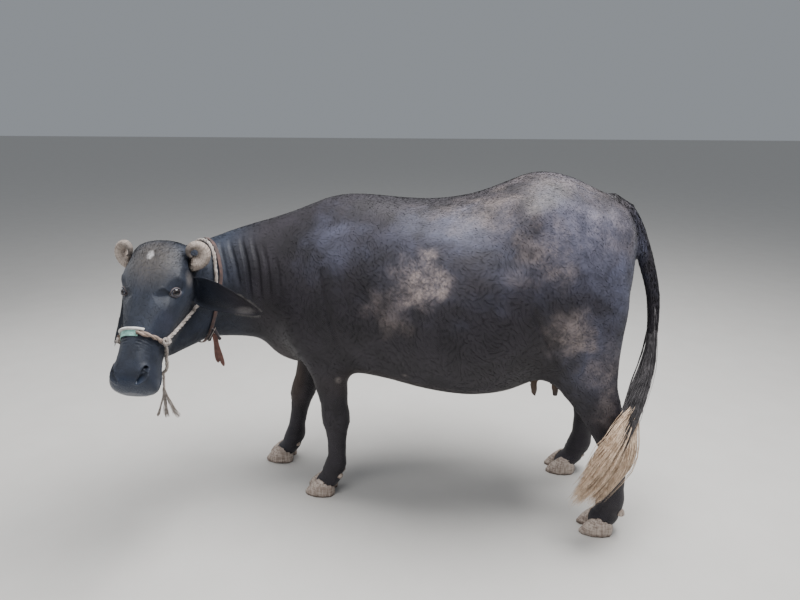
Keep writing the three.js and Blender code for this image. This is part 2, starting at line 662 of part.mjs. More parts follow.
// A flat lock of hair that leaves the tail at one share of its length, drifts aside, and tapers to its tip
function tailLock({ from, to, aside, proud, width, thick, sway }) {
  const steps = 5;
  return loft(evenly(0, 1, steps).map((s) => {
    const t = Math.min(mix(from, to, s), 1);
    const ahead = TAIL_LINE.getTangentAt(t);
    const across = ahead.clone().cross(vec(0, 1, 0.2)).normalize();
    const outward = across.clone().cross(ahead).normalize();
    const spread = Math.sin(Math.min(s * 1.15, 1) * Math.PI * 0.5);
    const middle = TAIL_LINE.getPointAt(t)
      .addScaledVector(ahead, Math.max(mix(from, to, s) - 1, 0) * TAIL_LINE.getLength())
      .addScaledVector(across, aside * spread + sway * Math.sin(s * 5))
      .addScaledVector(outward, proud * spread);
    const swell = 0.35 + 0.65 * Math.sin(Math.PI * Math.min(0.12 + s * 0.75, 1));
    const taper = s > 0.7 ? mix(1, 0.16, (s - 0.7) / 0.3) : 1;
    const [half, rise] = [width * swell * taper, Math.max(thick * swell * taper, 1)];
    return [[-half, 0], [0, rise], [half, 0], [0, -rise]]
      .map(([a, b]) => middle.clone().addScaledVector(across, a).addScaledVector(outward, b));
  }));
}
const chance = (seed) => {
  THREE.MathUtils.seededRandom(seed);
  return (low, high) => mix(low, high, THREE.MathUtils.seededRandom());
};
function tailLocks(count, seed, sizes) {
  const pick = chance(seed);
  return Array.from({ length: count }, (_, i) => {
    const place = -1 + (2 * (i + 0.5)) / count;
    return tailLock(sizes(place, pick, i));
  });
}
const blackLocks = tailLocks(6, 11, (place, pick, i) => ({
  from: pick(0.5, 0.6), to: pick(0.76, 0.83), aside: place * 24 + pick(-3, 3), proud: (i % 3 - 1) * 9,
  width: pick(15, 20), thick: 6, sway: pick(-3, 3),
}));
const paleLocks = tailLocks(10, 23, (place, pick, i) => ({
  from: pick(0.7, 0.74), to: 1.02 - 0.09 * place * place + pick(-0.02, 0.02), aside: place * 48 + pick(-4, 4),
  proud: (i % 3 - 1) * 8, width: pick(24, 30), thick: 8, sway: pick(-3, 3),
}));
const coreLine = new THREE.CatmullRomCurve3(evenly(0.69, 0.96, 10).map((t) => TAIL_LINE.getPointAt(t)));
const CORE = [[0, 15], [0.3, 30], [0.7, 40], [1, 10]];
const paleCore = tubeAlong(coreLine, CORE, evenly(0, 1, 6), 8, 0.3);
const pale = join([paleCore, ...paleLocks]).subtract(tailCut(TAIL_CUTS[1]));
const beyond = (body, t, keepLower) => {
  const at = TAIL_LINE.getPointAt(t);
  const ahead = TAIL_LINE.getTangentAt(t);
  return body.decompose().filter((piece) => {
    const { min, max } = piece.boundingBox();
    const middle = vec(...min).add(vec(...max)).multiplyScalar(0.5);
    return (middle.sub(at).dot(ahead) > 0) === keepLower;
  });
};
const paleSwitch = largest(join(beyond(pale, TAIL_CUTS[1], true)));
const nearPale = grow(paleSwitch, 3 * GAP);
const tail = join([tailBone, ...blackLocks]).subtract(tailCut(TAIL_CUTS[0])).subtract(nearPale);
add("tail_dock", join(beyond(tail, TAIL_CUTS[0], false)).subtract(nearTorso), hide);
add("tail_black_hair", join(beyond(tail, TAIL_CUTS[0], true)), blackHair);
add("tail_pale_switch", paleSwitch, paleHair);

// The rope halter: a band over the nose, a knot on each cheek, and ropes to the poll and round the jaw
const ropeAlong = (points, steps) =>
  tubeAlong(new THREE.CatmullRomCurve3(points), [[0, ROPE_RADIUS], [1, ROPE_RADIUS]], evenly(0, 1, steps), 5);
const NOSEBAND_AT = 332;
const NOSEBAND_REACH = 72; // degrees to each side
const KNOT_ANGLE = 88;
const KNOT = [15, 12, 13];
const clearOfFlesh = (body) => body.subtract(nearHead).subtract(nearNeck);

function makeNoseband() {
  const halfWidth = BAND_WIDTH / 2;
  return loft(evenly(-NOSEBAND_REACH, NOSEBAND_REACH, 12).map((degrees) =>
    [[-halfWidth, 1], [halfWidth, 1], [halfWidth, 5], [-halfWidth, 5]]
      .map(([along, proud]) => onSkin(NOSEBAND_AT + along, degrees, proud))));
}
add("halter_noseband", clearOfFlesh(makeNoseband()), bandFinish);

// A point on the outside of the head or neck, looking in towards a centre
const caster = new THREE.Raycaster();
const skins = built.filter(({ name }) => name === "head" || name === "neck" || name === "torso");
for (const { material } of skins) material.side = THREE.DoubleSide;
function onFlesh(centre, direction, proud) {
  const outward = direction.clone().normalize();
  caster.set(centre.clone().addScaledVector(outward, 600), outward.clone().negate());
  return caster.intersectObjects(skins)[0].point.addScaledVector(outward, proud);
}

// Directions round the neck at one share of its length: 0 is over the top, 90 her left
function roundNeck(t, degrees, proud) {
  const along = NECK_LINE.getTangent(t);
  const left = vec(0, 0, 1).cross(along).normalize();
  const top = along.clone().cross(left).normalize();
  const angle = THREE.MathUtils.degToRad(degrees);
  const direction = top.multiplyScalar(Math.cos(angle)).addScaledVector(left, Math.sin(angle));
  return onFlesh(NECK_LINE.getPoint(t), direction, proud);
}

const noseband = makeNoseband();
const nearNoseband = grow(noseband, GAP);
const knots = Object.fromEntries(Object.entries(SIDES).map(([name, side]) =>
  [name, onSkin(NOSEBAND_AT, -side * KNOT_ANGLE, 7)]));
for (const [name, side] of Object.entries(SIDES)) {
  const knot = pod(knots[name], KNOT, [FORWARD, LEFT, UP], KNOT_SIDES);
  const tieFrom = [70, 79].map((degrees) => onSkin(NOSEBAND_AT, -side * degrees, ROPE_RADIUS + 3));
  const tie = ropeAlong([...tieFrom, knots[name]], 4);
  add(`halter_knot_${name}`, clearOfFlesh(knot.add(tie)).subtract(nearNoseband), ropeFinish);
}
const nearKnots = built.filter(({ name }) => name.startsWith("halter_knot"))
  .map(({ geometry }) => grow(solid(geometry), GAP));
const clearOfKnots = (body) => nearKnots.reduce((rest, knot) => rest.subtract(knot), clearOfFlesh(body));

// One rope from the left cheek, behind the ear and the horns, and down the right cheek
const cheek = (side) => [
  knots[side], ...[[275, 104], [210, 120], [150, 130]].map(([at, degrees]) =>
    onSkin(at, (side === "left" ? 1 : -1) * degrees, ROPE_RADIUS + 2)),
];
// The rope leans back from the poll: it crosses the crest nearer to the head than the sides
const ROPE_TOP = 0.825; // share of the neck over the crest
const ROPE_SIDE = 0.78; // share of the neck at the sides
const leaning = (top, side, degrees) => mix(top, side, Math.min(Math.abs(degrees) / 90, 1));
const overPoll = [100, 75, 50, 25, 0, -25, -50, -75, -100].map((degrees) =>
  roundNeck(leaning(ROPE_TOP, ROPE_SIDE, degrees), degrees, ROPE_RADIUS + 2));
const headstall = ropeAlong([...cheek("left"), ...overPoll, ...cheek("right").reverse()], 26);
add("halter_headstall", clearOfKnots(headstall), ropeFinish);

// The jaw rope hangs a little slack below the chin
const JAW_ROPE = [[350, 60, -112], [372, 56, -150], [392, 40, -186], [402, 0, -200]];
const jawPoints = JAW_ROPE.map((place) => onHead(...place));
const jawMirror = JAW_ROPE.slice(0, -1).reverse().map(([x, y, z]) => onHead(x, -y, z));
const jawRope = ropeAlong([knots.left, ...jawPoints, ...jawMirror, knots.right], 20);
add("halter_jaw", clearOfKnots(jawRope), ropeFinish);

// A short rope end hangs from the jaw rope, and frays into a tassel
const TASSEL_ROUTE = [
  [-901, -474, 697], [-901, -474, 693], [-902, -474, 689], [-902, -474, 685], [-902, -474, 681],
  [-903, -474, 677], [-903, -475, 673], [-903, -475, 669], [-903, -475, 665], [-904, -475, 661],
  [-904, -475, 657], [-904, -476, 653], [-904, -476, 649], [-905, -476, 645], [-905, -476, 641],
  [-905, -476, 637],
].map((place) => vec(...place));
const FRAY = [[-30, -8], [-12, 9], [6, -10], [24, 9], [46, -8]]; // how far the tip of each strand drifts
const FRAY_DROP = 108;
const FRAY_RADIUS = 4;
function makeTasselRope() {
  const section = oval(8, TASSEL_RADIUS, TASSEL_RADIUS, TASSEL_RADIUS, 2, 2);
  const path = new THREE.CatmullRomCurve3(TASSEL_ROUTE);
  return solid(new THREE.ExtrudeGeometry(
    new THREE.Shape(section.map(([a, b]) => new THREE.Vector2(a, b))),
    { steps: 4, bevelEnabled: false, extrudePath: path },
  ));
}
function makeFray() {
  const top = TASSEL_ROUTE.at(-1);
  const sizes = [[0, FRAY_RADIUS], [0.5, FRAY_RADIUS], [1, FRAY_RADIUS * 0.3]];
  const strand = ([x, y]) => {
    const line = new THREE.CatmullRomCurve3([
      top.clone().add(vec(x * 0.06, y * 0.2, FRAY_RADIUS)),
      top.clone().add(vec(x * 0.35, y * 0.6, -FRAY_DROP * 0.4)),
      top.clone().add(vec(x, y, -FRAY_DROP)),
    ]);
    return tubeAlong(line, sizes, evenly(0, 1, 4), 4);
  };
  return join(FRAY.map(strand));
}
const tasselRope = makeTasselRope().subtract(grow(jawRope, GAP));
add("halter_tassel_rope", tasselRope, ropeFinish);
add("halter_tassel_fray", makeFray().subtract(grow(largest(tasselRope), GAP)), ropeFinish);

// The collar lies loose round the neck behind the rope, with a dark toggle and a strap end hanging from it
const COLLAR_TOP = 0.775; // share of the neck over the crest
const COLLAR_SIDE = 0.735; // share of the neck at the sides
const COLLAR_SLACK = 2; // how far it stands off half way down
const COLLAR_HALF = 7.5;
const COLLAR_THICK = 3.2;
const TOGGLE = [20, 12, 24];
const collarAt = (degrees) => leaning(COLLAR_TOP, COLLAR_SIDE, Math.min(degrees, 360 - degrees));
const slack = (degrees) => COLLAR_SLACK * (1 - Math.cos(THREE.MathUtils.degToRad(degrees)));
const collarRing = evenly(0, 345, 23).map((degrees) =>
  roundNeck(collarAt(degrees), degrees, COLLAR_THICK + 2 + slack(degrees)));
function closedStrap(points, half, thick) {
  const line = new THREE.CatmullRomCurve3(points, true);
  const [steps, sides] = [26, 4];
  const ringAt = (t) => {
    const along = line.getTangent(t);
    const across = along.clone().cross(NECK_LINE.getTangent(COLLAR_SIDE)).normalize();
    const up = across.clone().cross(along).normalize();
    return oval(sides, half, thick, thick, 2, 2)
      .map(([a, b]) => line.getPoint(t).addScaledVector(up, a).addScaledVector(across, b));
  };
  const rings = evenly(0, 1, steps).slice(0, -1).map(ringAt);
  const faces = [];
  rings.forEach((_, r) => {
    const [here, there] = [r * sides, ((r + 1) % rings.length) * sides];
    for (let i = 0; i < sides; i++) {
      const j = (i + 1) % sides;
      faces.push(here + i, here + j, there + i, here + j, there + j, there + i);
    }
  });
  return solid(new THREE.BufferGeometry().setFromPoints(rings.flat()).setIndex(faces));
}
const collar = closedStrap(collarRing, COLLAR_HALF, COLLAR_THICK);
const nearHeadstall = grow(headstall, GAP);
add("collar", clearOfFlesh(collar).subtract(nearHeadstall), strapFinish);
const nearCollar = grow(collar, GAP);
const toggleTop = roundNeck(COLLAR_SIDE, 140, 18);
const toggleFacing = [vec(1, 0, 0), vec(0, 1, 0), vec(0, 0, 1)];
const toggle = pod(toggleTop.clone().add(vec(0, 0, -TOGGLE[2] - 2)), TOGGLE, toggleFacing, KNOT_SIDES);
add("collar_toggle", clearOfFlesh(toggle).subtract(nearCollar), blackHair);
const STRAP_HANG = [[0, -40], [6, -90], [16, -140]]; // how far it drifts and drops
const strapLine = new THREE.CatmullRomCurve3(
  STRAP_HANG.map(([x, z]) => toggleTop.clone().add(vec(x, 0, z))));
const strapEnd = tubeAlong(strapLine, [[0, 10], [1, 15]], evenly(0, 1, 6), 8, 0.3);
add("collar_strap_end", strapEnd.subtract(grow(toggle, GAP)), strapFinish);

// The part stands on Z = 0, centred under the middle of its box
const box = new THREE.Box3().setFromObject(buffalo);
const middle = box.getCenter(vec(0, 0, 0));
buffalo.position.set(-middle.x, -middle.y, -box.min.z);

export default buffalo;
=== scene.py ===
# %% [markdown]
# # A water buffalo cow at rest
#
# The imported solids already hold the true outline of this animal: barrel, neck, head,
# ears, legs, tail and the rope halter she wears. This lesson dresses them. We grow one
# skin over the flesh, fold it where a buffalo's hide folds, lay the short coat on it,
# build the long hair of the tail lock by lock, and finish horns, claws, eyes and rope.

import json
import math
import time

import bmesh
import bpy
import numpy as np
from mathutils import Euler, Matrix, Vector
from mathutils.bvhtree import BVHTree

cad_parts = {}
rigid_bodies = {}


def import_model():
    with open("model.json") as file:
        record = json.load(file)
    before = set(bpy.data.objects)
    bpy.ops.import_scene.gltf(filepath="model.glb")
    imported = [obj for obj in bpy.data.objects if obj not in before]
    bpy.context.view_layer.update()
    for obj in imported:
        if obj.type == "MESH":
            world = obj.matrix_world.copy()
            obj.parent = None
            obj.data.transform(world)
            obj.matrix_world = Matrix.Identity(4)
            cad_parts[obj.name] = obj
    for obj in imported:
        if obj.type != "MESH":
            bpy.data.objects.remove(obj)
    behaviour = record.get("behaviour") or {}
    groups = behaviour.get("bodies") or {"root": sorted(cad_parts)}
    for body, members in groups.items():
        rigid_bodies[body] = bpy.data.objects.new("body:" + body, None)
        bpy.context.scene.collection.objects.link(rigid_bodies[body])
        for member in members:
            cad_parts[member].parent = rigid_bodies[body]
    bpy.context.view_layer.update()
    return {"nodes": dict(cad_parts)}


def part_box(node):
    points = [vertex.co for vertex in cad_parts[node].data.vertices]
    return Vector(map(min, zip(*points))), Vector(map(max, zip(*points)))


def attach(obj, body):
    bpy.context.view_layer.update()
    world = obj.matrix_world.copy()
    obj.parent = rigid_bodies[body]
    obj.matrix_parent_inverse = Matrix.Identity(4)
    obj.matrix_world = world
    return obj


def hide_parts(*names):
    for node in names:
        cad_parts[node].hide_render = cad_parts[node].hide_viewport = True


for left_over in list(bpy.data.objects):
    bpy.data.objects.remove(left_over)
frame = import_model()
nodes = frame["nodes"]
started = time.time()

# %% [markdown]
# ## One ruler for everything
#
# The solids were drawn in millimetres with the chest over zero, and then moved so that
# the whole animal stands over the middle of its box. We keep drawing in those same
# millimetres and let one helper carry each place over. The left eye is a ball whose
# centre we know in both frames, so the move between them is one subtraction.

# %% Places in millimetres
MM = 0.001
TURN = 2 * math.pi
LEFT_EYE = (-850.2, -429.5, 968.1)


def box_middle(node):
    low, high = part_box(node)
    return (low + high) / 2


MOVE = box_middle("eye_left") - Vector(LEFT_EYE) * MM


def place(x, y, z):
    return Vector((x, y, z)) * MM + MOVE


print("drawing moved by", [round(v, 4) for v in MOVE])

# %% [markdown]
# ## The camera
#
# The photograph was taken by hand with a wide phone lens, standing a little to the left
# of the middle of the animal and looking down on her back. The horizon's height in the
# picture gives the tilt, and the lens gives the field of view. A camera object needs
# only its place, its turn and its focal length, so we set exactly those three.

# %% Camera
CAMERA_AT = (123, -2215, 1550)
CAMERA_TURN = 7.2  # degrees to the left of straight across
HORIZON_ROW, MIDDLE_ROW = 107, 300
FOCAL_PIXELS, FRAME_WIDTH = 601, 800
SENSOR = 36  # millimetres

camera_data = bpy.data.cameras.new("camera")
camera_data.sensor_width = SENSOR
camera_data.lens = SENSOR * FOCAL_PIXELS / FRAME_WIDTH
camera = bpy.data.objects.new("camera", camera_data)
camera.location = place(*CAMERA_AT)
tilt = math.atan((MIDDLE_ROW - HORIZON_ROW) / FOCAL_PIXELS)
camera.rotation_euler = Euler((math.pi / 2 - tilt, 0, math.radians(CAMERA_TURN)))
bpy.context.scene.collection.objects.link(camera)
bpy.context.scene.camera = camera
print("lens", round(camera_data.lens, 1), "tilt", round(math.degrees(tilt), 1))

# %% [markdown]
# ## Meshes from numbers
#
# Most pieces here are grown by rule: a line with a size along it, or thousands of small
# hairs. Numpy makes the points quickly, and one helper turns points and faces into an
# object. Another shows it: the object is tied to the standing body and says which solids it
# replaces.

# %% Helpers for meshes
TINY = 1e-9


def into_scene(piece):
    bpy.context.scene.collection.objects.link(piece)
    return piece


def show(piece, replaced=()):
    into_scene(piece)
    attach(piece, "root")
    if replaced:
        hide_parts(*replaced)
    return piece


def mesh_object(name, points, faces):
    mesh = bpy.data.meshes.new(name)
    mesh.from_pydata([tuple(p) for p in points], [], [tuple(f) for f in faces])
    mesh.shade_smooth()
    return bpy.data.objects.new(name, mesh)


def rows_of(items, what, width, kind=np.float32):
    """One property of all vertices, edges or faces of a mesh, with width numbers to a row."""
    flat = np.empty(len(items) * width, kind)
    items.foreach_get(what, flat)
    return flat.reshape(-1, width)


def points_of(mesh):
    return rows_of(mesh.vertices, "co", 3).astype(float)


def move_points(mesh, points):
    mesh.vertices.foreach_set("co", np.asarray(points, np.float32).ravel())
    mesh.update()


def normals_of(mesh):
    return rows_of(mesh.vertex_normals, "vector", 3).astype(float)


def unit(vector):
    vector = np.array(vector, float)
    return vector / np.linalg.norm(vector)


def units(vectors):
    """The same directions, each one unit long."""
    return vectors / np.maximum(np.linalg.norm(vectors, axis=-1, keepdims=True), TINY)


def length_of(line):
    return float(np.linalg.norm(np.diff(line, axis=0), axis=1).sum())


def step(low, high, value):
    """A soft step from 0 at low to 1 at high."""
    t = np.clip((value - low) / (high - low), 0, 1)
    return t * t * (3 - 2 * t)


def mix(a, b, t):
    return a + (b - a) * t


def distances(points, at):
    return np.linalg.norm(points - at, axis=1)


def ridge(value, middle, width):
    """1 at the middle, falling to 0 a few widths away from it."""
    return np.exp(-((value - middle) / width) ** 2)


print("helpers ready for", len(nodes), "nodes")

# %% [markdown]
# ## Lines through places
#
# Ropes, horns, and the tail all follow a curve through a few places. A Catmull-Rom
# curve goes through every place it is given, which makes it easy to say where a rope
# runs. `sweep` then carries a ring along such a line, keeping it from twisting.

# %% Lines and sweeps
POINTS_BETWEEN = 24
PARALLEL = 1e-6


def line_through(places, count=None, closed=False):
    """A centripetal Catmull-Rom curve through the places, as count evenly spaced points.

    Without a count it gives as many points from each place to the next, near or far.
    """
    known = [np.array(p, float) for p in places]
    if closed:
        known = [known[-1], *known, known[0], known[1]]
    else:
        known = [2 * known[0] - known[1], *known, 2 * known[-1] - known[-2]]
    dense = []
    for a, b, c, d in zip(known, known[1:], known[2:], known[3:]):
        knots = [0.0]
        for p, q in ((a, b), (b, c), (c, d)):
            knots.append(knots[-1] + max(np.linalg.norm(q - p), TINY) ** 0.5)
        for t in np.linspace(knots[1], knots[2], POINTS_BETWEEN, endpoint=False):
            row = [a, b, c, d]
            for spans in (((0, 1), (1, 2), (2, 3)), ((0, 2), (1, 3)), ((1, 2),)):
                row = [((knots[j] - t) * p + (t - knots[i]) * q) / (knots[j] - knots[i])
                       for (i, j), p, q in zip(spans, row, row[1:])]
            dense.append(row[0])
    dense.append(known[-2])
    dense = np.array(dense)
    if count is None:
        return dense
    run = np.concatenate([[0], np.cumsum(np.linalg.norm(np.diff(dense, axis=0), axis=1))])
    even = np.linspace(0, run[-1], count)
    return np.stack([np.interp(even, run, dense[:, k]) for k in range(3)], axis=1)


def frames_along(line, first_side=None):
    """Tangent, side and upright direction at each point, carried along without twisting."""
    ahead = units(np.gradient(line, axis=0))
    side = np.array(first_side if first_side is not None else (0, 0, 1), float)
    sides = []
    for direction in ahead:
        side = side - direction * side.dot(direction)
        if np.linalg.norm(side) < PARALLEL:
            side = np.cross(direction, (0, 1, 0))
        side = side / np.linalg.norm(side)
        sides.append(side)
    sides = np.array(sides)
    return ahead, sides, np.cross(ahead, sides)


def ring_faces(rings, sides, closed=False):
    faces = []
    for r in range(rings if closed else rings - 1):
        here, there = r * sides, ((r + 1) % rings) * sides
        for i in range(sides):
            j = (i + 1) % sides
            faces.append((here + i, here + j, there + j, there + i))
    if not closed:
        faces.append(tuple(reversed(range(sides))))
        faces.append(tuple(range((rings - 1) * sides, rings * sides)))
    return faces


def sweep(line, radii, sides, first_side=None, flat=1.0, closed=False):
    """Points and faces of a tube; radii is a number or one per point, flat squashes it."""
    ahead, side, up = frames_along(line, first_side)
    radii = np.broadcast_to(radii, len(line))[:, None]
    rings = []
    for angle in np.arange(sides) / sides * TURN:
        rings.append(line + side * math.cos(angle) * radii + up * math.sin(angle) * radii * flat)
    points = np.stack(rings, axis=1).reshape(-1, 3)
    return points, ring_faces(len(line), sides, closed)


print("a curve through three places has", len(line_through(np.eye(3))), "points")

# %% [markdown]
# ## Many strands at once
#
# Long hair and frayed yarn are thousands of thin ribbons. Each strand is a closed bar with
# four sides, tapered along its length. All of them are made as one array, because adding
# them to Blender one by one would take minutes.

# %% Strands as ribbons


def ribbons(lines, across, outward, widths, thicks):
    """Closed four-sided strands; lines is strands x steps x 3, with directions to match."""
    count, steps, _ = lines.shape
    corners = [lines + across * widths[..., None], lines + outward * thicks[..., None],
               lines - across * widths[..., None], lines - outward * thicks[..., None]]
    points = np.stack(corners, axis=2).reshape(-1, 3)
    first = (np.arange(count) * steps * 4)[:, None, None]
    rows = (np.arange(steps - 1) * 4)[None, :, None]
    faces = []
    for i in range(4):
        j = (i + 1) % 4
        quad = np.array([i, j, j + 4, i + 4])[None, None, :] + rows + first
        faces.append(quad.reshape(-1, 4))
    for end in (np.array([3, 2, 1, 0]), np.array([0, 1, 2, 3]) + (steps - 1) * 4):
        faces.append(end[None, :] + first[:, 0, :])
    return points, np.concatenate(faces)


def quick_mesh(name, points, quads):
    """Quads given as one array; far faster than from_pydata for many thousand."""
    mesh = bpy.data.meshes.new(name)
    mesh.vertices.add(len(points))
    mesh.vertices.foreach_set("co", np.asarray(points, np.float32).ravel())
    quads = np.asarray(quads, np.int32)
    mesh.loops.add(quads.size)
    mesh.loops.foreach_set("vertex_index", quads.ravel())
    mesh.polygons.add(len(quads))
    mesh.polygons.foreach_set("loop_start", np.arange(len(quads), dtype=np.int32) * quads.shape[1])
    mesh.update(calc_edges=True)
    mesh.shade_smooth()
    return bpy.data.objects.new(name, mesh)


print("each strand has four sides and two ends")

# %% [markdown]
# ## The head's own frame
#
# She has turned her head to look at us, so nothing on it lines up with the axes of the
# body. Everything on the face is easier to say in the head's own frame: forward from the
# poll along the face, to her left, and up out of the face.

# %% Head frame
POLL = (-935, -343, 1118)
HEAD_TURN = math.radians(92)
HEAD_DROP = math.radians(46)
FORWARD = np.array([-math.cos(HEAD_TURN) * math.cos(HEAD_DROP),
                    -math.sin(HEAD_TURN) * math.cos(HEAD_DROP), -math.sin(HEAD_DROP)])
LEFT = np.cross((0, 0, 1), FORWARD)
LEFT /= np.linalg.norm(LEFT)
UP = np.cross(FORWARD, LEFT)
HEAD_AXES = np.stack([FORWARD, LEFT, UP])
POLL_AT = np.array(place(*POLL))


def on_head(x, y, z):
    return POLL_AT + (np.array([x, y, z]) * MM) @ HEAD_AXES


def in_head(points):
    """Where points lie in the head's frame, in millimetres."""
    return (points - POLL_AT) @ HEAD_AXES.T / MM


print("poll at", POLL_AT.round(3))

# %% [markdown]
# ## One skin for all the flesh
#
# On the animal there is one hide from the nose to the tail. The solids part it with thin
# cuts, so we copy the flesh, let the copies swell by half a millimetre to close the cuts,
# and remesh the lot into even quads. Remeshing by volume forgets the cuts and the facets'
# edges alike. The eyes are remeshed along with the flesh, which fills their sockets; the
# lids are shaped afterwards over the real eyeballs.

# %% Remesh the flesh
LEGS = ["leg_front_left", "leg_front_right", "leg_hind_left", "leg_hind_right"]
FLESH = ["torso", "neck", "head", *LEGS, "tail_dock", "udder"]
EARS = ["ear_left", "ear_right"]
EYES = ["eye_left", "eye_right"]
SKIN_GRID = 0.0075
CLOSE_CUTS = 0.0006


def swollen(names, by):
    points, faces, owners = [], [], []
    for name in names:
        mesh = nodes[name].data
        start = sum(len(p) for p in points)
        points.append(points_of(mesh) + normals_of(mesh) * by)
        faces += [tuple(start + v for v in f.vertices) for f in mesh.polygons]
        owners += [name] * len(mesh.polygons)
    return np.concatenate(points), faces, owners


def remeshed(name, names, grid, by=CLOSE_CUTS):
    points, faces, _ = swollen(names, by)
    rough = into_scene(mesh_object(name + "_rough", points, faces))
    remesh = rough.modifiers.new("even", "REMESH")
    remesh.mode = "VOXEL"
    remesh.voxel_size = grid
    graph = bpy.context.evaluated_depsgraph_get()
    mesh = bpy.data.meshes.new_from_object(rough.evaluated_get(graph))
    bpy.data.objects.remove(rough)
    mesh.name = name
    return mesh


skin_mesh = remeshed("skin", FLESH + EYES, SKIN_GRID)
print("skin:", len(skin_mesh.polygons), "quads")

# %% [markdown]
# ## Smoothing without shrinking
#
# The solids are faceted, and the facets still show in the remeshed skin. Plain smoothing
# would melt them away, but the legs would melt with them. Taubin's way smooths and then
# pushes back out by a little more, so facets go and girth stays. The head needs few
# rounds, because its forms are small, and the barrel needs many.

# %% Smooth the skin
PUSH_BACK = 0.53  # a little more than the half that each round eases
BLUR_ROUNDS = 24  # soften the borders between the parts
ALL_ROUNDS, BARREL_ROUNDS, PLAIN_ROUNDS = 8, 30, 60


def edges_of(mesh):
    return rows_of(mesh.edges, "vertices", 2, np.int32)


def eased(points, edges, rounds, weight=1.0, push_back=PUSH_BACK):
    """Taubin smoothing; weight, one per point, says how much each point takes part."""
    count = len(points)
    a, b = np.concatenate([edges, edges[:, ::-1]]).T
    links = np.maximum(np.bincount(a, minlength=count), 1)[:, None]
    weight = np.broadcast_to(weight, count)[:, None]
    points = points.copy()
    for _ in range(rounds):
        for share in ((0.5, -push_back) if push_back else (0.5,)):
            near = np.stack([np.bincount(a, points[b, k], count) for k in range(3)], axis=1) / links
            points += (near - points) * share * weight
    return points


def nearest_owner(points, names):
    """For each point, the number in names of the solid that lies nearest to it."""
    solid_points, faces, owners = swollen(names, 0)
    tree = BVHTree.FromPolygons([tuple(p) for p in solid_points], faces)
    numbers = [names.index(owner) for owner in owners]
    return np.array([numbers[tree.find_nearest(p)[2]] for p in points])


skin_points = points_of(skin_mesh)
owner = nearest_owner(skin_points, FLESH)
on_the_head = (owner == FLESH.index("head")).astype(float)
edges = edges_of(skin_mesh)
small = (owner > FLESH.index("head")).astype(float)
masks = np.stack([on_the_head, small, 0 * small], axis=1)
on_the_head, small, _ = eased(masks, edges, BLUR_ROUNDS, 1, 0).T
skin_points = eased(skin_points, edges, ALL_ROUNDS)
skin_points = eased(skin_points, edges, BARREL_ROUNDS, (1 - on_the_head) * (1 - 0.5 * small))
skin_points = eased(skin_points, edges, PLAIN_ROUNDS, (1 - on_the_head) ** 2 * (1 - small) ** 2, 0)
move_points(skin_mesh, skin_points)
print("smoothed", len(skin_points), "points,", round(time.time() - started, 1), "s")

# %% [markdown]
# ## A finer grid for the face
#
# Lids, nostrils and lips are a few millimetres wide, finer than the grid of the barrel.
# Quads nearest to the head are split in four, twice, and eased after each split. The rest
# of the skin keeps its coarse quads, so the whole stays light.

# %% Split the quads of the head
SPLITS, SPLIT_EASE = 2, 5
# from where forward, half width, lowest and highest in the head's frame, in millimetres
HEAD_ZONE = (-60, 135, -265, 70)


def split_faces(mesh, chosen):
    grown = bmesh.new()
    grown.from_mesh(mesh)
    grown.faces.ensure_lookup_table()
    ring = {edge for i in np.flatnonzero(chosen) for edge in grown.faces[i].edges}
    bmesh.ops.subdivide_edges(grown, edges=list(ring), cuts=1, use_grid_fill=True)
    bmesh.ops.triangulate(grown, faces=[f for f in grown.faces if len(f.verts) > 4])
    grown.to_mesh(mesh)
    grown.free()


def face_middles(mesh):
    return rows_of(mesh.polygons, "center", 3).astype(float)


def is_head(points, zone=HEAD_ZONE):
    x, y, z = in_head(points).T
    return (x > zone[0]) & (abs(y) < zone[1]) & (z > zone[2]) & (z < zone[3])


for _ in range(SPLITS):
    split_faces(skin_mesh, is_head(face_middles(skin_mesh)))
    skin_points = points_of(skin_mesh)
    inside = is_head(skin_points)
    skin_points = eased(skin_points, edges_of(skin_mesh), SPLIT_EASE, inside.astype(float))
    move_points(skin_mesh, skin_points)
print("skin:", len(skin_mesh.polygons), "faces after the split")

# %% [markdown]
# ## Ears that belong to the skin
#
# An ear is a leaf of gristle rolled to a funnel at its root and cupped along its length,
# thinner than a quad of the barrel. So each one is lofted afresh on a fine grid from the
# same few sizes as its solid: half width, depth of the cup and thickness along its length.
# A Boolean union fuses it to the head, and easing the points round the cut turns the
# sharp crease into the soft root of a real ear.

# %% Loft the ears
EAR_LENGTH = 260
EAR_SIZES = [  # share of the length, half width, depth of the cup, thickness
    (0, 34, 26, 9), (0.14, 51, 34, 8), (0.34, 54, 32, 7), (0.55, 45, 24, 6.5), (0.78, 31, 14, 5.5),
    (0.93, 18, 7, 4.5), (1, 7, 2, 3)]
EAR_SHAPES = {  # root in the head's frame, direction, where the cup opens to, and droop
    "ear_left": ((88, 96, -138), (0.88, -0.17, -0.22), (0.28, -0.95, -0.12), (0, 0, -18)),
    "ear_right": ((70, -96, -118), (-0.3, -0.16, -0.94), (-0.8, -0.6, 0.05), (-34, 0, 0))}
EAR_ROWS, EAR_COLUMNS = 96, 30
EAR_BELOW_SOLID = 0.8  # the hair's depth, taken off the width
ROLL = (1.5, 1.15)  # half the angle that the leaf is rolled through, at its root and its tip
CUP = 1.3  # how much deeper the cup is than a plain arc


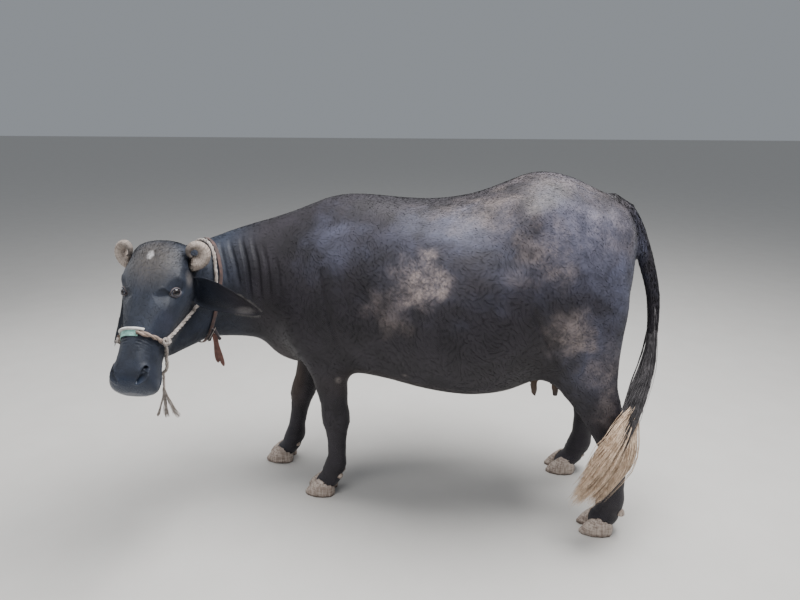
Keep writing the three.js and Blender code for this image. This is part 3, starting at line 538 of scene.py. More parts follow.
def smooth_rows(rows, at):
    """Sizes read from a table with a soft curve between its rows."""
    rows = np.array(rows, float)
    slopes = np.gradient(rows[:, 1:], rows[:, 0], axis=0)
    i = int(np.clip(np.searchsorted(rows[:, 0], at) - 1, 0, len(rows) - 2))
    (low, *a), (high, *b) = rows[i], rows[i + 1]
    gap = high - low
    t = (at - low) / gap
    a, b = np.array(a), np.array(b)
    return ((1 + 2 * t) * (1 - t) ** 2 * a + t * (1 - t) ** 2 * gap * slopes[i]
            + t * t * (3 - 2 * t) * b - t * t * (1 - t) * gap * slopes[i + 1])


def ear_axes(name):
    """The ear's root, the directions along and across it and to its back, and its droop."""
    root, along, opens, droop = EAR_SHAPES[name]
    ahead = unit(along)
    across = unit(np.cross(opens, ahead))
    return on_head(*root), ahead, across, np.cross(ahead, across), np.array(droop)


def ear_loft(name):
    root, ahead, across, back, droop = ear_axes(name)
    points = []
    for t in np.linspace(0, 1, EAR_ROWS) ** 0.9:
        half, depth, thick = smooth_rows(EAR_SIZES, t)
        half -= EAR_BELOW_SOLID
        middle = root + (ahead * t * EAR_LENGTH + droop * t * t) * MM
        roll = mix(*ROLL, t)
        for share in np.linspace(0, 1, 2 * EAR_COLUMNS, endpoint=False):
            c = math.cos(share * TURN)
            inner = 1 - math.sin(share * TURN)  # 0 on the back of the leaf, 2 inside
            a = half * math.sin(c * roll) / math.sin(roll)
            b = depth * (1 - math.cos(c * roll)) * CUP - thick * 0.5 * (1 - 0.6 * abs(c)) * inner
            points.append(middle + (across * a + back * b) * MM)
    return points, ring_faces(EAR_ROWS, 2 * EAR_COLUMNS)


def fused(mesh, extra):
    base, other = (into_scene(bpy.data.objects.new("base", part)) for part in (mesh, extra))
    union = base.modifiers.new("union", "BOOLEAN")
    union.operation, union.solver, union.object = "UNION", "MANIFOLD", other
    graph = bpy.context.evaluated_depsgraph_get()
    made = bpy.data.meshes.new_from_object(base.evaluated_get(graph))
    bpy.data.objects.remove(base)
    bpy.data.objects.remove(other)
    return made


def tree_of(mesh):
    return BVHTree.FromPolygons(points_of(mesh).tolist(), [tuple(f.vertices) for f in mesh.polygons])


ROOT_ZONE, ROOT_BLEND, ROOT_EASE = 0.12, 0.014, 14
for name in EARS:
    ear_mesh = mesh_object(name + "_loft", *ear_loft(name)).data
    outward = bmesh.new()
    outward.from_mesh(ear_mesh)
    bmesh.ops.recalc_face_normals(outward, faces=outward.faces)
    bmesh.ops.triangulate(outward, faces=[f for f in outward.faces if len(f.verts) > 4])
    outward.to_mesh(ear_mesh)
    outward.free()
    ear_tree, head_tree = tree_of(ear_mesh), tree_of(skin_mesh)
    skin_mesh = fused(skin_mesh, ear_mesh)
    skin_points = points_of(skin_mesh)
    close = distances(skin_points, ear_axes(name)[0]) < ROOT_ZONE
    blend = np.zeros(len(skin_points))
    for i in np.flatnonzero(close):
        away = max(tree.find_nearest(skin_points[i])[3] for tree in (ear_tree, head_tree))
        blend[i] = 1 - away / ROOT_BLEND
    skin_points = eased(skin_points, edges_of(skin_mesh), ROOT_EASE, step(0, 0.8, blend), 0)
    move_points(skin_mesh, skin_points)
    print(name, "fused:", len(skin_mesh.polygons), "faces")

# %% [markdown]
# ## Finer still round the eyes and nostrils
#
# The rims of the lids and nostrils are sharp turns, so the quads right at them are split
# once more. The eyes lie where the solids have them, and each looks forward, outward and
# a little up from the face, as a grazing animal's eyes do.

# %% Eyes and nostrils placed
SIDES = {"left": 1, "right": -1}
EYE_RADIUS = 20
GAZE = (0.34, 0.70, 0.62)
LID_LINE = (-0.60, 0.67, -0.43)  # from the inner corner of the lids to the outer one
NOSTRIL = [(438, 56, -33), (450, 55, -30), (464, 52, -34), (482, 34, -41)]
LID_ZONE, NOSTRIL_ZONE = 0.036, 0.026  # metres
FOLD_ZONE = ((-850, -560), (800, 1130), -20)  # range along and up, and how far to her left
FOLD_EASE = 8


def mirrored(rows, side):
    """Rows that start with a place in the head's frame, for her left or her right."""
    return [(x, y * side, z, *rest) for x, y, z, *rest in rows]


def on_side(places, side):
    return [on_head(*p) for p in mirrored(places, side)]


def eye_axes(name):
    """The eye's middle, and the directions that its lids run along, across, and out."""
    side = SIDES[name]
    out, to_corner = (unit(way @ HEAD_AXES) for way in np.array(mirrored([GAZE, LID_LINE], side)))
    across = unit(np.cross(out, to_corner)) * side
    along = unit(to_corner - out * out.dot(to_corner))
    return np.array(box_middle("eye_" + name)), along, across, out


def away_from_line(points, line):
    """Distance of each point from a line of places, and the share along it."""
    best, share = np.full(len(points), 9.0), np.zeros(len(points))
    line = np.array(line, float)
    for i, (a, b) in enumerate(zip(line, line[1:])):
        t = np.clip(((points - a) @ (b - a)) / max((b - a) @ (b - a), TINY * TINY), 0, 1)
        away = np.linalg.norm(points - a - t[:, None] * (b - a), axis=1)
        closer = away < best
        best[closer] = away[closer]
        share[closer] = (i + t[closer]) / (len(line) - 1)
    return best, share


nostril_lines = {name: line_through(on_side(NOSTRIL, side), 12) for name, side in SIDES.items()}


def is_rim(points):
    near = np.zeros(len(points), bool)
    for name in SIDES:
        near |= distances(points, eye_axes(name)[0]) < LID_ZONE
        near |= away_from_line(points, nostril_lines[name])[0] < NOSTRIL_ZONE
    return near


def drawn(points):
    """Where points lie in the drawing's frame, in millimetres."""
    return (points - np.array(MOVE)) / MM


def is_folded(points):
    (back, front), (low, high), left = FOLD_ZONE
    x, y, z = drawn(points).T
    return (x > back) & (x < front) & (z > low) & (z < high) & (y < left) & ~is_head(points)


split_faces(skin_mesh, is_rim(face_middles(skin_mesh)))
split_faces(skin_mesh, is_folded(face_middles(skin_mesh)))
skin_points = points_of(skin_mesh)
skin_points = eased(skin_points, edges_of(skin_mesh), FOLD_EASE, is_folded(skin_points).astype(float))
move_points(skin_mesh, skin_points)
print("skin:", len(skin_mesh.polygons), "faces with fine rims and folds")

# %% [markdown]
# ## Dents, swellings and folds
#
# A buffalo's hide is thick and loose. It creases where it bends: above the eyes, behind
# the lips, on the neck when the head turns, and at the knees and hocks. Each crease is a
# line on the body that the skin sinks towards, with a soft roll on both sides of it, and
# each muscle or hollow is a round swelling. Both only push points along their normals.

# %% Helpers for the relief


ROLL_HEIGHT, ROLL_AWAY, ROLL_WIDTH = 0.42, 2.1, 1.2  # of the roll beside a crease, by its size


def swellings(points, rows):
    """How far each point is pushed out by rows of place, reach and height."""
    push = np.zeros(len(points))
    for *place_and_reach, height in rows:
        away = (points - place_and_reach[:3]) / place_and_reach[3:]
        push += height * np.exp(-np.sum(away * away, axis=1))
    return push


def crease(points, line, depth, width, fade=0.2):
    """A groove along a line, with a low roll beside it, fading out at both ends."""
    away, share = away_from_line(points, line)
    ends = step(0, fade, share) * step(0, fade, 1 - share)
    roll = ROLL_HEIGHT * ridge(away, ROLL_AWAY * width, ROLL_WIDTH * width)
    return -depth * ends * (ridge(away, 0, width) - roll)


at_line = crease(np.zeros((1, 2)), [(-1, 0), (1, 0)], 1, 1)[0]
print("a crease 1 deep sinks", round(-float(at_line), 2), "at its line")

# %% [markdown]
# ## The face
#
# The photograph shows hollows in front of the eyes, arched wrinkles over them, fine
# wrinkles where the band crosses the nose, and a soft broad muzzle. The left and right
# halves are the same rule, mirrored.

# %% Relief of the face
FACE_SWELLINGS = [
    # place, reach and height in the head's frame
    (206, 64, -24, 30, 18, 20, -5.0),
    (250, 66, -88, 60, 20, 16, 3.0),
    (300, 52, -40, 40, 14, 14, -2.5),
    (100, 40, 14, 50, 34, 30, 2.5),
    (150, 0, 16, 60, 20, 24, -1.5),
    (415, 30, -14, 26, 18, 14, 3.0),
    (470, 60, -70, 18, 20, 24, 2.5),
    (474, 0, -50, 16, 10, 30, -1.2),
    (60, 100, -130, 30, 26, 30, -4.0),
    (130, 86, -170, 40, 20, 40, 4.0),
]
BROW_CORNER = (122, 98, -18, 42, 34, 36, 1.0)
BROW_ROUNDS, BROW_LEAST = 90, 0.02
RELIEF_ZONE = (-70, 140, -275, 75)
MOUTH_DEPTH, MOUTH_WIDTH, MOUTH_FADE = 5.0, 3.2, 0.03
MOUTH = [(493, 0, -140), (491, 31, -137), (486, 48, -134), (470, 67, -123), (445, 69, -122),
         (412, 60, -121), (390, 57, -124)]
# from the poll, inner and outer end; from the poll, to the side, top and bottom
NOSE_WRINKLES = [(352, 8, 60), (362, 10, 66), (373, 12, 70), (385, 16, 70), (398, 22, 66)]
CHIN_WRINKLES = [(372, 54, -128, -158), (385, 54, -134, -158)]

skin_points = points_of(skin_mesh)
local = in_head(skin_points)
face = np.flatnonzero(is_head(skin_points, RELIEF_ZONE))
spots = local[face]
push = np.zeros(len(face))
for side in SIDES.values():
    push += swellings(spots, mirrored(FACE_SWELLINGS, side))
    push += crease(spots, mirrored(MOUTH, side), MOUTH_DEPTH, MOUTH_WIDTH, MOUTH_FADE)
    for at, low, high in NOSE_WRINKLES:
        arc = [(at - 4, low, -2), (at, mix(low, high, 0.5), -8), (at + 7, high, -46)]
        push += crease(spots, mirrored(arc, side), 1.5, 2.6)
    for at, y, top, bottom in CHIN_WRINKLES:
        push += crease(spots, mirrored([(at, y, top), (at + 3, y * 0.92, bottom)], side), 1.6, 3.2)
skin_normals = normals_of(skin_mesh)
skin_points[face] += skin_normals[face] * push[:, None] * MM
weight = sum(swellings(local, mirrored([BROW_CORNER], side)) for side in SIDES.values())
near = weight > BROW_LEAST
number = np.cumsum(near) - 1
edges = edges_of(skin_mesh)
edges = number[edges[near[edges].all(axis=1)]]
skin_points[near] = eased(skin_points[near], edges, BROW_ROUNDS, weight[near], 0)
move_points(skin_mesh, skin_points)
print("face:", len(face), "points, pushed from", round(push.min(), 1), "to", round(push.max(), 1), "mm")

# %% [markdown]
# ## Lids draped over the eyeballs
#
# Seen from the middle of the eye, the skin round it is a dome. Inside an almond-shaped
# opening we pull that dome below the surface of the eyeball, so that the ball shows, and
# outside it we lift the skin to a rounded rim that lies on the ball. Arched wrinkles
# follow the upper lid. The opening is small and dark-rimmed, as in the photograph.

# %% Lids
LID_HALF = 18.5
LID_UP, LID_DOWN = 10.5, 8.5
LID_THICK = 2.3
LID_ROLL, LID_FURROW = (1.3, 2.4, 1.9), (-1.5, 7.2, 1.5)  # height, from the edge, width
WRINKLE_HEIGHT, WRINKLES_FROM, WRINKLES_APART = 1.5, 9, 8.0
LID_REACH = 0.075  # metres


def lid_edge(along, across):
    """Signed distance in millimetres outside the edge of the opening between the lids."""
    bow = np.clip(1 - (along / LID_HALF) ** 2, 0, 1) ** 0.75
    height = np.where(across > 0, LID_UP, LID_DOWN) * bow
    beyond = np.maximum(abs(along) - LID_HALF, 0)
    return np.where(beyond > 0, np.hypot(beyond, across), abs(across) - height)


def round_the_eye(points, name):
    middle, along, across, out = eye_axes(name)
    away = (points - middle) / MM
    reach = np.linalg.norm(away, axis=1)
    outward = away @ out / reach
    turn = np.arccos(np.clip(outward, -1, 1))
    flat = np.stack([away @ along, away @ across], axis=1)
    flat *= (turn * EYE_RADIUS / np.maximum(np.linalg.norm(flat, axis=1), TINY))[:, None]
    return middle, away, reach, outward, flat


skin_points = points_of(skin_mesh)
for name in SIDES:
    near = np.flatnonzero(distances(skin_points, eye_axes(name)[0]) < LID_REACH)
    middle, away, reach, outward, flat = round_the_eye(skin_points[near], name)
    edge = lid_edge(flat[:, 0], flat[:, 1])
    rim = EYE_RADIUS + LID_THICK
    for height, at, width in (LID_ROLL, LID_FURROW):
        rim = rim + height * ridge(edge, at, width)
    lifted = mix(rim, np.maximum(reach, EYE_RADIUS + 1), step(7, 15, edge))
    wanted = mix(EYE_RADIUS - 3.0, lifted, step(-0.9, 0.9, edge))
    wrinkles = np.cos((edge - WRINKLES_FROM) / WRINKLES_APART * TURN)
    wrinkles = wrinkles * step(8, 14, edge) * step(44, 26, edge)
    above = step(-4, 12, flat[:, 1]) + 0.5 * step(6, 16, -flat[:, 1])
    wanted = np.where(outward > 0.05, wanted + WRINKLE_HEIGHT * wrinkles * above, reach)
    reach_now = mix(reach, wanted, step(0.05, 0.3, outward))
    skin_points[near] = middle + away / reach[:, None] * reach_now[:, None] * MM
    print("lids", name, "over", len(near), "points")
move_points(skin_mesh, skin_points)

# %% [markdown]
# ## Nostrils
#
# Each nostril is a comma, wide above and outside, with a tail running down towards the
# lip, and a thick soft wing round it. The skin is pushed deep into the muzzle along that
# line, and the rim beside it is raised.

# %% Nostrils
NOSTRIL_WIDTH = ((0, 6.5), (0.3, 10.5), (0.6, 8.5), (1, 3.5))
NOSTRIL_REACH = 0.03  # metres
NOSTRIL_DEPTH, WING_HEIGHT = 20, 2.4
skin_points = points_of(skin_mesh)
skin_normals = normals_of(skin_mesh)
for name, side in SIDES.items():
    inward = unit(np.array([-0.75, -0.45 * side, -0.35]) @ HEAD_AXES)
    away, share = away_from_line(skin_points, nostril_lines[name])
    near = np.flatnonzero(away < NOSTRIL_REACH)
    width = np.interp(share[near], *zip(*NOSTRIL_WIDTH))
    edge = away[near] / MM - width
    outward = skin_normals[near]
    sunk = step(2.5, -7.0, edge) * NOSTRIL_DEPTH
    rim = WING_HEIGHT * ridge(edge, 5.0, 4.5)
    skin_points[near] += inward * sunk[:, None] * MM + outward * rim[:, None] * MM
    print("nostril", name, "sinks", round(float(sunk.max()), 1), "mm")
move_points(skin_mesh, skin_points)

# %% [markdown]
# ## Neck, shoulder and flank
#
# With the head turned to her left, the loose hide on that side of the neck bunches into
# upright folds. Behind them lie the shoulder blade, the hollow behind the elbow, the hip
# bones, the hollow of the flank, and the fold that joins the thigh to the belly. Skin
# also creases over the knees and hocks.

# %% Relief of the body
NECK_FOLDS = [  # upper end, middle, lower end, depth, width
    ((-812, 1088), (-778, 1010), (-760, 925), 4.0, 6.5),
    ((-783, 1098), (-742, 1005), (-722, 900), 6.5, 7.5),
    ((-742, 1108), (-702, 1000), (-690, 850), 9.5, 8.5),
    ((-700, 1110), (-664, 1000), (-655, 840), 7.0, 9.0),
    ((-655, 1085), (-628, 985), (-620, 860), 5.0, 10.0),
    ((-610, 1060), (-585, 960), (-580, 860), 3.0, 12.0),
]
BODY_CREASES = [  # places along it in the drawing's frame, depth, width
    ([(300, 988), (335, 893), (379, 809), (423, 717), (455, 642)], 7.0, 15.0),
    ([(-428, 1024), (-399, 876), (-358, 745), (-341, 647)], 5.0, 13.0),
    ([(-383, 1068), (-342, 952), (-297, 832)], 3.0, 14.0),
]
BODY_SWELLINGS = [
    # place, reach and height, in the drawing's frame
    (-395, 238, 1010, 60, 90, 170, 6.0),
    (-300, 250, 960, 40, 90, 150, -5.0),
    (-335, 200, 640, 46, 60, 60, -7.0),
    (330, 225, 1140, 60, 60, 60, -7.0),
    (560, 120, 1240, 46, 40, 40, -4.0),
    (400, 190, 1250, 60, 46, 40, 5.0),
    (640, 110, 1150, 50, 40, 50, 5.0),
    (330, 270, 640, 60, 60, 60, -6.0),
]
LEG_CREASES = [(330, 4, 13, 1.3), (118, 3, 12, 1.4)]  # height, how many, apart, depth
FOLD_REACH, FADE = 110, 0.3


def side_line(places):
    """A curve through places seen from the side."""
    return line_through([(*at, 0) for at in places], 14)[:, :2]


skin_points = points_of(skin_mesh)
skin_normals = normals_of(skin_mesh)
owner = nearest_owner(skin_points, FLESH + EARS)
of_node = {name: owner == i for i, name in enumerate(FLESH + EARS)}
spots = drawn(skin_points)
push = np.zeros(len(spots))
bulk = np.flatnonzero(of_node["torso"] | of_node["neck"])
push[bulk] += swellings(spots[bulk], BODY_SWELLINGS + mirrored(BODY_SWELLINGS, -1))
near_side = step(0.15, 0.55, -skin_normals[:, 1]) * (of_node["neck"] | of_node["torso"])
for top, middle, bottom, depth, width in NECK_FOLDS:
    near = np.flatnonzero((near_side > 0) & (abs(spots[:, 0] - middle[0]) < FOLD_REACH))
    fold = crease(spots[near][:, [0, 2]], side_line([top, middle, bottom]), depth, width, FADE)
    push[near] += fold * near_side[near]
for line, depth, width in BODY_CREASES:
    near = np.flatnonzero(of_node["torso"] & (abs(skin_normals[:, 1]) > 0.15))
    push[near] += crease(spots[near][:, [0, 2]], side_line(line), depth, width, FADE)
for height, count, apart, depth in LEG_CREASES:
    for leg in LEGS:
        near = np.flatnonzero(of_node[leg])
        ripple = (spots[near, 2] - height) / apart
        push[near] += depth * np.cos(ripple * TURN) * step(count, count * 0.4, abs(ripple * 2))
skin_points += skin_normals * push[:, None] * MM
move_points(skin_mesh, skin_points)
print("body pushed from", round(push.min(), 1), "to", round(push.max(), 1), "mm")

# %% [markdown]
# ## Under the coat
#
# The solids reach out to the tips of the short coat, so the skin itself lies a little
# inside them. Pulling every point in along its normal by the depth of the coat leaves
# room for the hair. The finished skin replaces all the nodes of flesh at once.

# %% Finish the skin
COAT_DEPTH = 0.0012
skin_points = points_of(skin_mesh)
skin_points -= normals_of(skin_mesh) * COAT_DEPTH
move_points(skin_mesh, skin_points)
skin_mesh.shade_smooth()
skin_mesh.materials.clear()
skin_mesh.name = "skin"
skin = bpy.data.objects.new("skin", skin_mesh)
show(skin, FLESH + EARS)
skin_tree = tree_of(skin_mesh)
print("skin done:", len(skin_mesh.polygons), "faces,", round(time.time() - started, 1), "s")

# %% [markdown]
# ## Eyeballs
#
# Each eye is a smooth ball with the low dome of the cornea on its front. Its mesh has a
# flat map of itself, with the middle of the pupil at the centre and distance standing for
# angle, so that the material can draw iris, pupil and white by rule on either eye.

# %% Eyeballs
EYE_RINGS, EYE_SEGMENTS = 48, 64
EYE_MAP_SCALE = 8.0  # radians of turn across the whole map
CORNEA, BELOW_LIDS = 0.9, 0.4


def give_map(piece, name, places):
    """A UV map with one place for each point of the mesh."""
    corners = rows_of(piece.data.loops, "vertex_index", 1, np.int32)[:, 0]
    layer = piece.data.uv_layers.new(name=name)
    layer.data.foreach_set("uv", np.asarray(places, np.float32)[corners].ravel())


def joined(parts):
    """One list of points and one of faces from several."""
    points, faces, start = [], [], 0
    for some_points, some_faces in parts:
        points.append(np.asarray(some_points))
        faces += [tuple(v + start for v in face) for face in some_faces]
        start += len(some_points)
    return np.concatenate(points), faces


def eyeball(name):
    middle, along, across, out = eye_axes(name)
    points, flat = [], []
    for turn in np.linspace(0.01, math.pi - 0.01, EYE_RINGS):
        radius = EYE_RADIUS - BELOW_LIDS + CORNEA * float(step(0.85, 0.45, turn))
        for spin in np.linspace(0, TURN, EYE_SEGMENTS, endpoint=False):
            c, s = math.cos(spin), math.sin(spin)
            round_it = along * c + across * s
            points.append(middle + (out * math.cos(turn) + round_it * math.sin(turn)) * radius * MM)
            flat.append((0.5 + turn / EYE_MAP_SCALE * c, 0.5 + turn / EYE_MAP_SCALE * s))
    return points, ring_faces(EYE_RINGS, EYE_SEGMENTS), flat


def both_sides(name, make, map_name, replaced):
    """The pieces of both sides as one mesh with one map."""
    parts = [make(side) for side in SIDES]
    piece = mesh_object(name, *joined([part[:2] for part in parts]))
    give_map(piece, map_name, [spot for part in parts for spot in part[2]])
    print(name, len(piece.data.polygons), "faces")
    return show(piece, replaced)


eyes = both_sides("eyes", eyeball, "EyeMap", EYES)

# %% [markdown]
# ## Horns
#
# A horn grows from its base by a ring at a time, so rings are the one thing it must show:
# crowded and sharp near the head, and fading to a smooth tip. The coil is the same one as
# in the solids, a circle that tightens while it turns. The ring of each step is a little
# flat and three-cornered, as a river buffalo's horn is.

# %% Horns
HORN_COIL, HORN_TIP_COIL = 40, 12
HORN_TURN = (-1.75, 4.1)  # from where to where the coil runs, in radians
HORNS = {  # root and middle of the coil in the head's frame, and which way it sweeps
    "left": ((36, 70, -74), (20, 115, -36), (0.86, 0.45, 0.05)),
    "right": ((36, -70, -74), (20, -115, -36), (-0.93, 0.2, 0.1))}
HORN_RADII = ((0, 27), (0.12, 26), (0.3, 24.2), (0.5, 20.6), (0.8, 12.6), (0.97, 5), (1, 2))
HORN_STEPS, HORN_ROUND = 260, 40
HORN_RISE = (-6, 20)  # how far the coil stands forward of its middle, at its root and its tip
RIDGES, RIDGE_HEIGHT, CORNER_HEIGHT = 30, 0.075, 0.05  # heights as shares of the radius


def horn_line(name):
    root, centre, out = HORNS[name]
    sideways = unit(out)
    rise = unit(np.array([0, 0, 1]) - sideways * sideways[2])
    toward = np.cross(sideways, rise)
    toward *= -np.sign(toward[1])
    places = [on_head(*root)]
    for t in np.linspace(0, 1, 13):
        reach, angle = mix(HORN_COIL, HORN_TIP_COIL, t ** 1.2), mix(*HORN_TURN, t)
        offset = sideways * math.cos(angle) * reach + rise * math.sin(angle) * reach
        places.append(on_head(*centre) + (offset + toward * mix(*HORN_RISE, t)) * MM)
    return line_through(places, HORN_STEPS)


def horn(name):
    line = horn_line(name)
    ahead, side, up = frames_along(line, (0, 0, 1))
    share = np.linspace(0, 1, HORN_STEPS)
    radius = np.interp(share, *zip(*HORN_RADII))
    ring = share ** 0.9 * RIDGES + 0.35 * np.sin(share * 23) + 0.2 * np.sin(share * 61)
    rings = abs(np.sin(ring * math.pi)) ** 0.6 - 0.6
    radius = radius * (1 + RIDGE_HEIGHT * rings * step(0.85, 0.1, share))
    points, flat = [], []
    for i in range(HORN_STEPS):
        for spin in np.linspace(0, TURN, HORN_ROUND, endpoint=False):
            reach = radius[i] * (1 + CORNER_HEIGHT * math.cos(3 * spin + 0.6)) * MM
            aside, upward = math.cos(spin) * reach, math.sin(spin) * reach * 0.93
            points.append(line[i] + side[i] * aside + up[i] * upward)
            flat.append((abs(spin / math.pi - 1), share[i]))
    return points, ring_faces(HORN_STEPS, HORN_ROUND), flat


horns = both_sides("horns", horn, "HornMap", ["horn_left", "horn_right"])

# %% [markdown]
# ## Claws
#
# Cloven feet carry two claws each, with two dewclaws above and behind. The solids have
# their wedge and their flat sole. Remeshed finely and eased, their edges wear round as on
# an old cow, and the sole is pressed flat on the ground again. Growth lines run parallel
# to the hairline, so the skin of the claw rises and falls with its height.

# %% Claws
CLAW_GRID, CLAW_EASE, SOLE = 0.0032, 9, 0.0022
GROWTH_LINES = [(0.35, 7.0), (0.25, 3.1)]  # height and spacing
claw_names = sorted(name for name in nodes if "claw" in name)
claw_mesh = remeshed("claws", claw_names, CLAW_GRID, 0)
claw_points = eased(points_of(claw_mesh), edges_of(claw_mesh), CLAW_EASE)
claw_points[:, 2] = np.where(claw_points[:, 2] < SOLE, 0, claw_points[:, 2])
heights = claw_points[:, 2] / MM
slant = heights + 0.10 * drawn(claw_points)[:, 0]
growth = sum(height * np.sin(slant / apart * TURN) for height, apart in GROWTH_LINES)
move_points(claw_mesh, claw_points)
claw_points += normals_of(claw_mesh) * (growth * step(3, 9, heights))[:, None] * MM
move_points(claw_mesh, claw_points)
claw_mesh.shade_smooth()
claws = bpy.data.objects.new("claws", claw_mesh)
show(claws, claw_names)
print("claws:", len(claw_names), "in", len(claw_mesh.polygons), "faces")

# %% [markdown]
# ## Rope
#
# The halter is hand-made from soft worn rope, three strands laid round each other. Each
# strand is a tube that winds round the rope's line, with the lay of a cotton rope: one
# turn in about four diameters. Where a rope lies on the animal it must touch her skin and
# not sink into it, so its line is laid on the skin first and eased, and only then wound.

# %% Helpers for rope
ROPE_RADIUS = 6.5
LAY = 4.2  # diameters in one turn of the strands
ROPE_STEP = 3.6
ANY_PHASE = 6.3  # a whole turn of a wave, for random starts


def laid(line, radius, strands=3, sides=8, loose=0.0, seed=5):
    """Strands wound round a line; radius in millimetres."""
    rng = np.random.default_rng(seed)
    length = length_of(line) / MM
    line = line_through(line, max(int(length / ROPE_STEP), 12))
    _, side, up = frames_along(line, (0.3, 0.2, 1))
    run = np.linspace(0, length, len(line))
    parts = []
    for k in range(strands):
        swing = sum(loose * np.sin(run / wave + rng.uniform(0, ANY_PHASE)) for wave in (31, 13))
        turn = run / (LAY * 2 * radius) * TURN + k * TURN / strands + swing
        reach = radius * 0.47 * MM
        core = line + (side * np.cos(turn)[:, None] + up * np.sin(turn)[:, None]) * reach
        thick = radius * 0.56 * (1 + 0.10 * np.sin(run / 9 + rng.uniform(0, ANY_PHASE))) * MM
        parts.append(sweep(core, thick, sides))
    return joined(parts)


def on_skin(line, proud, reach=0.014, rounds=4):
    """Lays a line on the skin: points near it move to proud above it, buried ones come out."""
    line = np.array(line, float)
    for _ in range(rounds):
        for i, spot in enumerate(line):
            at, normal, _, away = skin_tree.find_nearest(Vector(spot))
            outside = (Vector(spot) - at).dot(normal)
            if away < reach or outside < proud:
                line[i] = at + normal * proud
        line[1:-1] = line[1:-1] * 0.5 + (line[:-2] + line[2:]) * 0.25
    return line


# %% [markdown]
# ## The halter
#
# One rope runs from the knot on the left cheek, behind the ear and the horns, and down to
# the knot on the right cheek. A second one hangs a little slack under the jaw. The band
# over the nose is a strip of cloth with a rolled white edge. A brown twist of cloth joins
# it to the knots. Only the left side shows in the photograph; the right one is its mirror.

# %% Halter ropes
KNOT = (332, 71, -76)
CHEEK = [(275, 83, -118), (210, 89, -161), (150, 90, -190)]
JAW_ROPE = [(350, 60, -112), (372, 56, -150), (392, 40, -186), (402, 0, -200)]
NECK_PLACES = [(-350, 0, 915), (-530, 0, 905), (-690, -32, 903), (-820, -98, 900), (-900, -190, 930),
               (-936, -285, 985)]
ROPE_TOP, ROPE_SIDE = 0.825, 0.78  # shares of the neck, over the crest and at its sides
neck_line = line_through([place(*p) for p in NECK_PLACES])
bare_points, bare_faces, _ = swollen(["head", "neck", "torso"], 0)
bare_tree = BVHTree.FromPolygons(bare_points.tolist(), bare_faces)


def round_neck(top, side, degrees, proud):
    """A point on the neck: 0 degrees is over the crest and 90 is her left."""
    share = mix(top, side, min(abs(degrees) / 90, 1))
    i = int(share * (len(neck_line) - 1))
    ahead = unit(neck_line[i + 1] - neck_line[i - 1])
    left = unit(np.cross((0, 0, 1), ahead))
    angle = math.radians(degrees)
    way = np.cross(ahead, left) * math.cos(angle) + left * math.sin(angle)
    hit = bare_tree.ray_cast(Vector(neck_line[i] + way * 0.6), Vector(-way))[0]
    return np.array(hit) + way * proud * MM


knots = {name: on_side([KNOT], side)[0] for name, side in SIDES.items()}
over_poll = [round_neck(ROPE_TOP, ROPE_SIDE, degrees, ROPE_RADIUS) for degrees in range(100, -101, -25)]
rope_places = [knots["left"], *on_side(CHEEK, 1), *over_poll, *on_side(CHEEK, -1)[::-1], knots["right"]]
headstall_line = on_skin(line_through(rope_places, 240), ROPE_RADIUS * MM)
headstall = mesh_object("halter_rope", *laid(headstall_line, ROPE_RADIUS, loose=0.35))
show(headstall, ["halter_headstall"])
under_jaw = on_side(JAW_ROPE, 1) + on_side(JAW_ROPE, -1)[-2::-1]
jaw_line = on_skin(line_through([knots["left"], *under_jaw, knots["right"]], 120), ROPE_RADIUS * MM, 0, 1)
jaw_rope = mesh_object("halter_jaw_rope", *laid(jaw_line, ROPE_RADIUS * 0.92, loose=0.4, seed=6))
show(jaw_rope, ["halter_jaw"])
print("rope over the poll:", round(length_of(headstall_line), 3), "m")

# %% [markdown]
# ## The band over the nose
#
# The band is three things: a strip of teal cloth low on her right, the rolled white edge
# above it, and a brown twisted cloth that starts on the bridge of the nose and runs to
# each knot. Each follows the same arc over the nose, at its own distance along the face.

# %% Noseband
NOSE_HALF = [(15, 0), (35, -8), (51, -24), (59, -47), (64, -77), (71, -76)]  # to the side, and up
NOSE_ARC = [(-aside, up) for aside, up in NOSE_HALF[::-1]] + NOSE_HALF
BAND_AT = 332
CLOTH_THICK = 1.6


def over_nose(forward, start, end, count, proud):
    """A line over the nose, from share start to share end of the arc, laid on the skin."""
    arc = line_through([on_head(BAND_AT + forward, *p) for p in NOSE_ARC], 121)
    some = arc[int(start * 120):int(end * 120) + 1]
    return on_skin(line_through(some, count), proud * MM, 0.03, 3)


def cloth_strip(low, high, start, end, count, columns=9):
    """A thin strip lying on the nose, with small folds that run along it."""
    lines = []
    for c, forward in enumerate(np.linspace(low, high, columns)):
        folds = 0.7 * math.sin(c * 2.4) * np.sin(np.linspace(0, 9, count) + c)
        line = over_nose(forward, start, end, count, 1.8)
        lines.append(line + UP * folds[:, None] * MM)
    lines = np.array(lines)
    outward = units(np.cross(np.gradient(lines, axis=1), np.gradient(lines, axis=0)))
    outward *= np.sign((outward @ UP).mean())
    both = np.concatenate([lines + outward * CLOTH_THICK * MM, lines[::-1]])
    return both.transpose(1, 0, 2).reshape(-1, 3), ring_faces(count, 2 * columns)


teal_strip = mesh_object("halter_teal_cloth", *cloth_strip(-8, 13, 0.09, 0.58, 60))
white_line = over_nose(-11, 0.08, 0.64, 90, 5.0)
white_edge = mesh_object("halter_white_edge", *sweep(white_line, 6.2 * MM, 14, UP, 0.8))
cloth_twists = []
for low, high, seed in ((0.55, 0.985, 7), (0.02, 0.22, 8)):
    cloth_twists.append(laid(over_nose(3, low, high, 60, 6.5), 7.5, 2, 10, 0.3, seed))
brown_cloth = mesh_object("halter_brown_cloth", *joined(cloth_twists))
show(teal_strip, ["halter_noseband"])
show(white_edge, ["halter_noseband"])
show(brown_cloth)
print("band:", len(teal_strip.data.polygons) + len(brown_cloth.data.polygons), "faces")

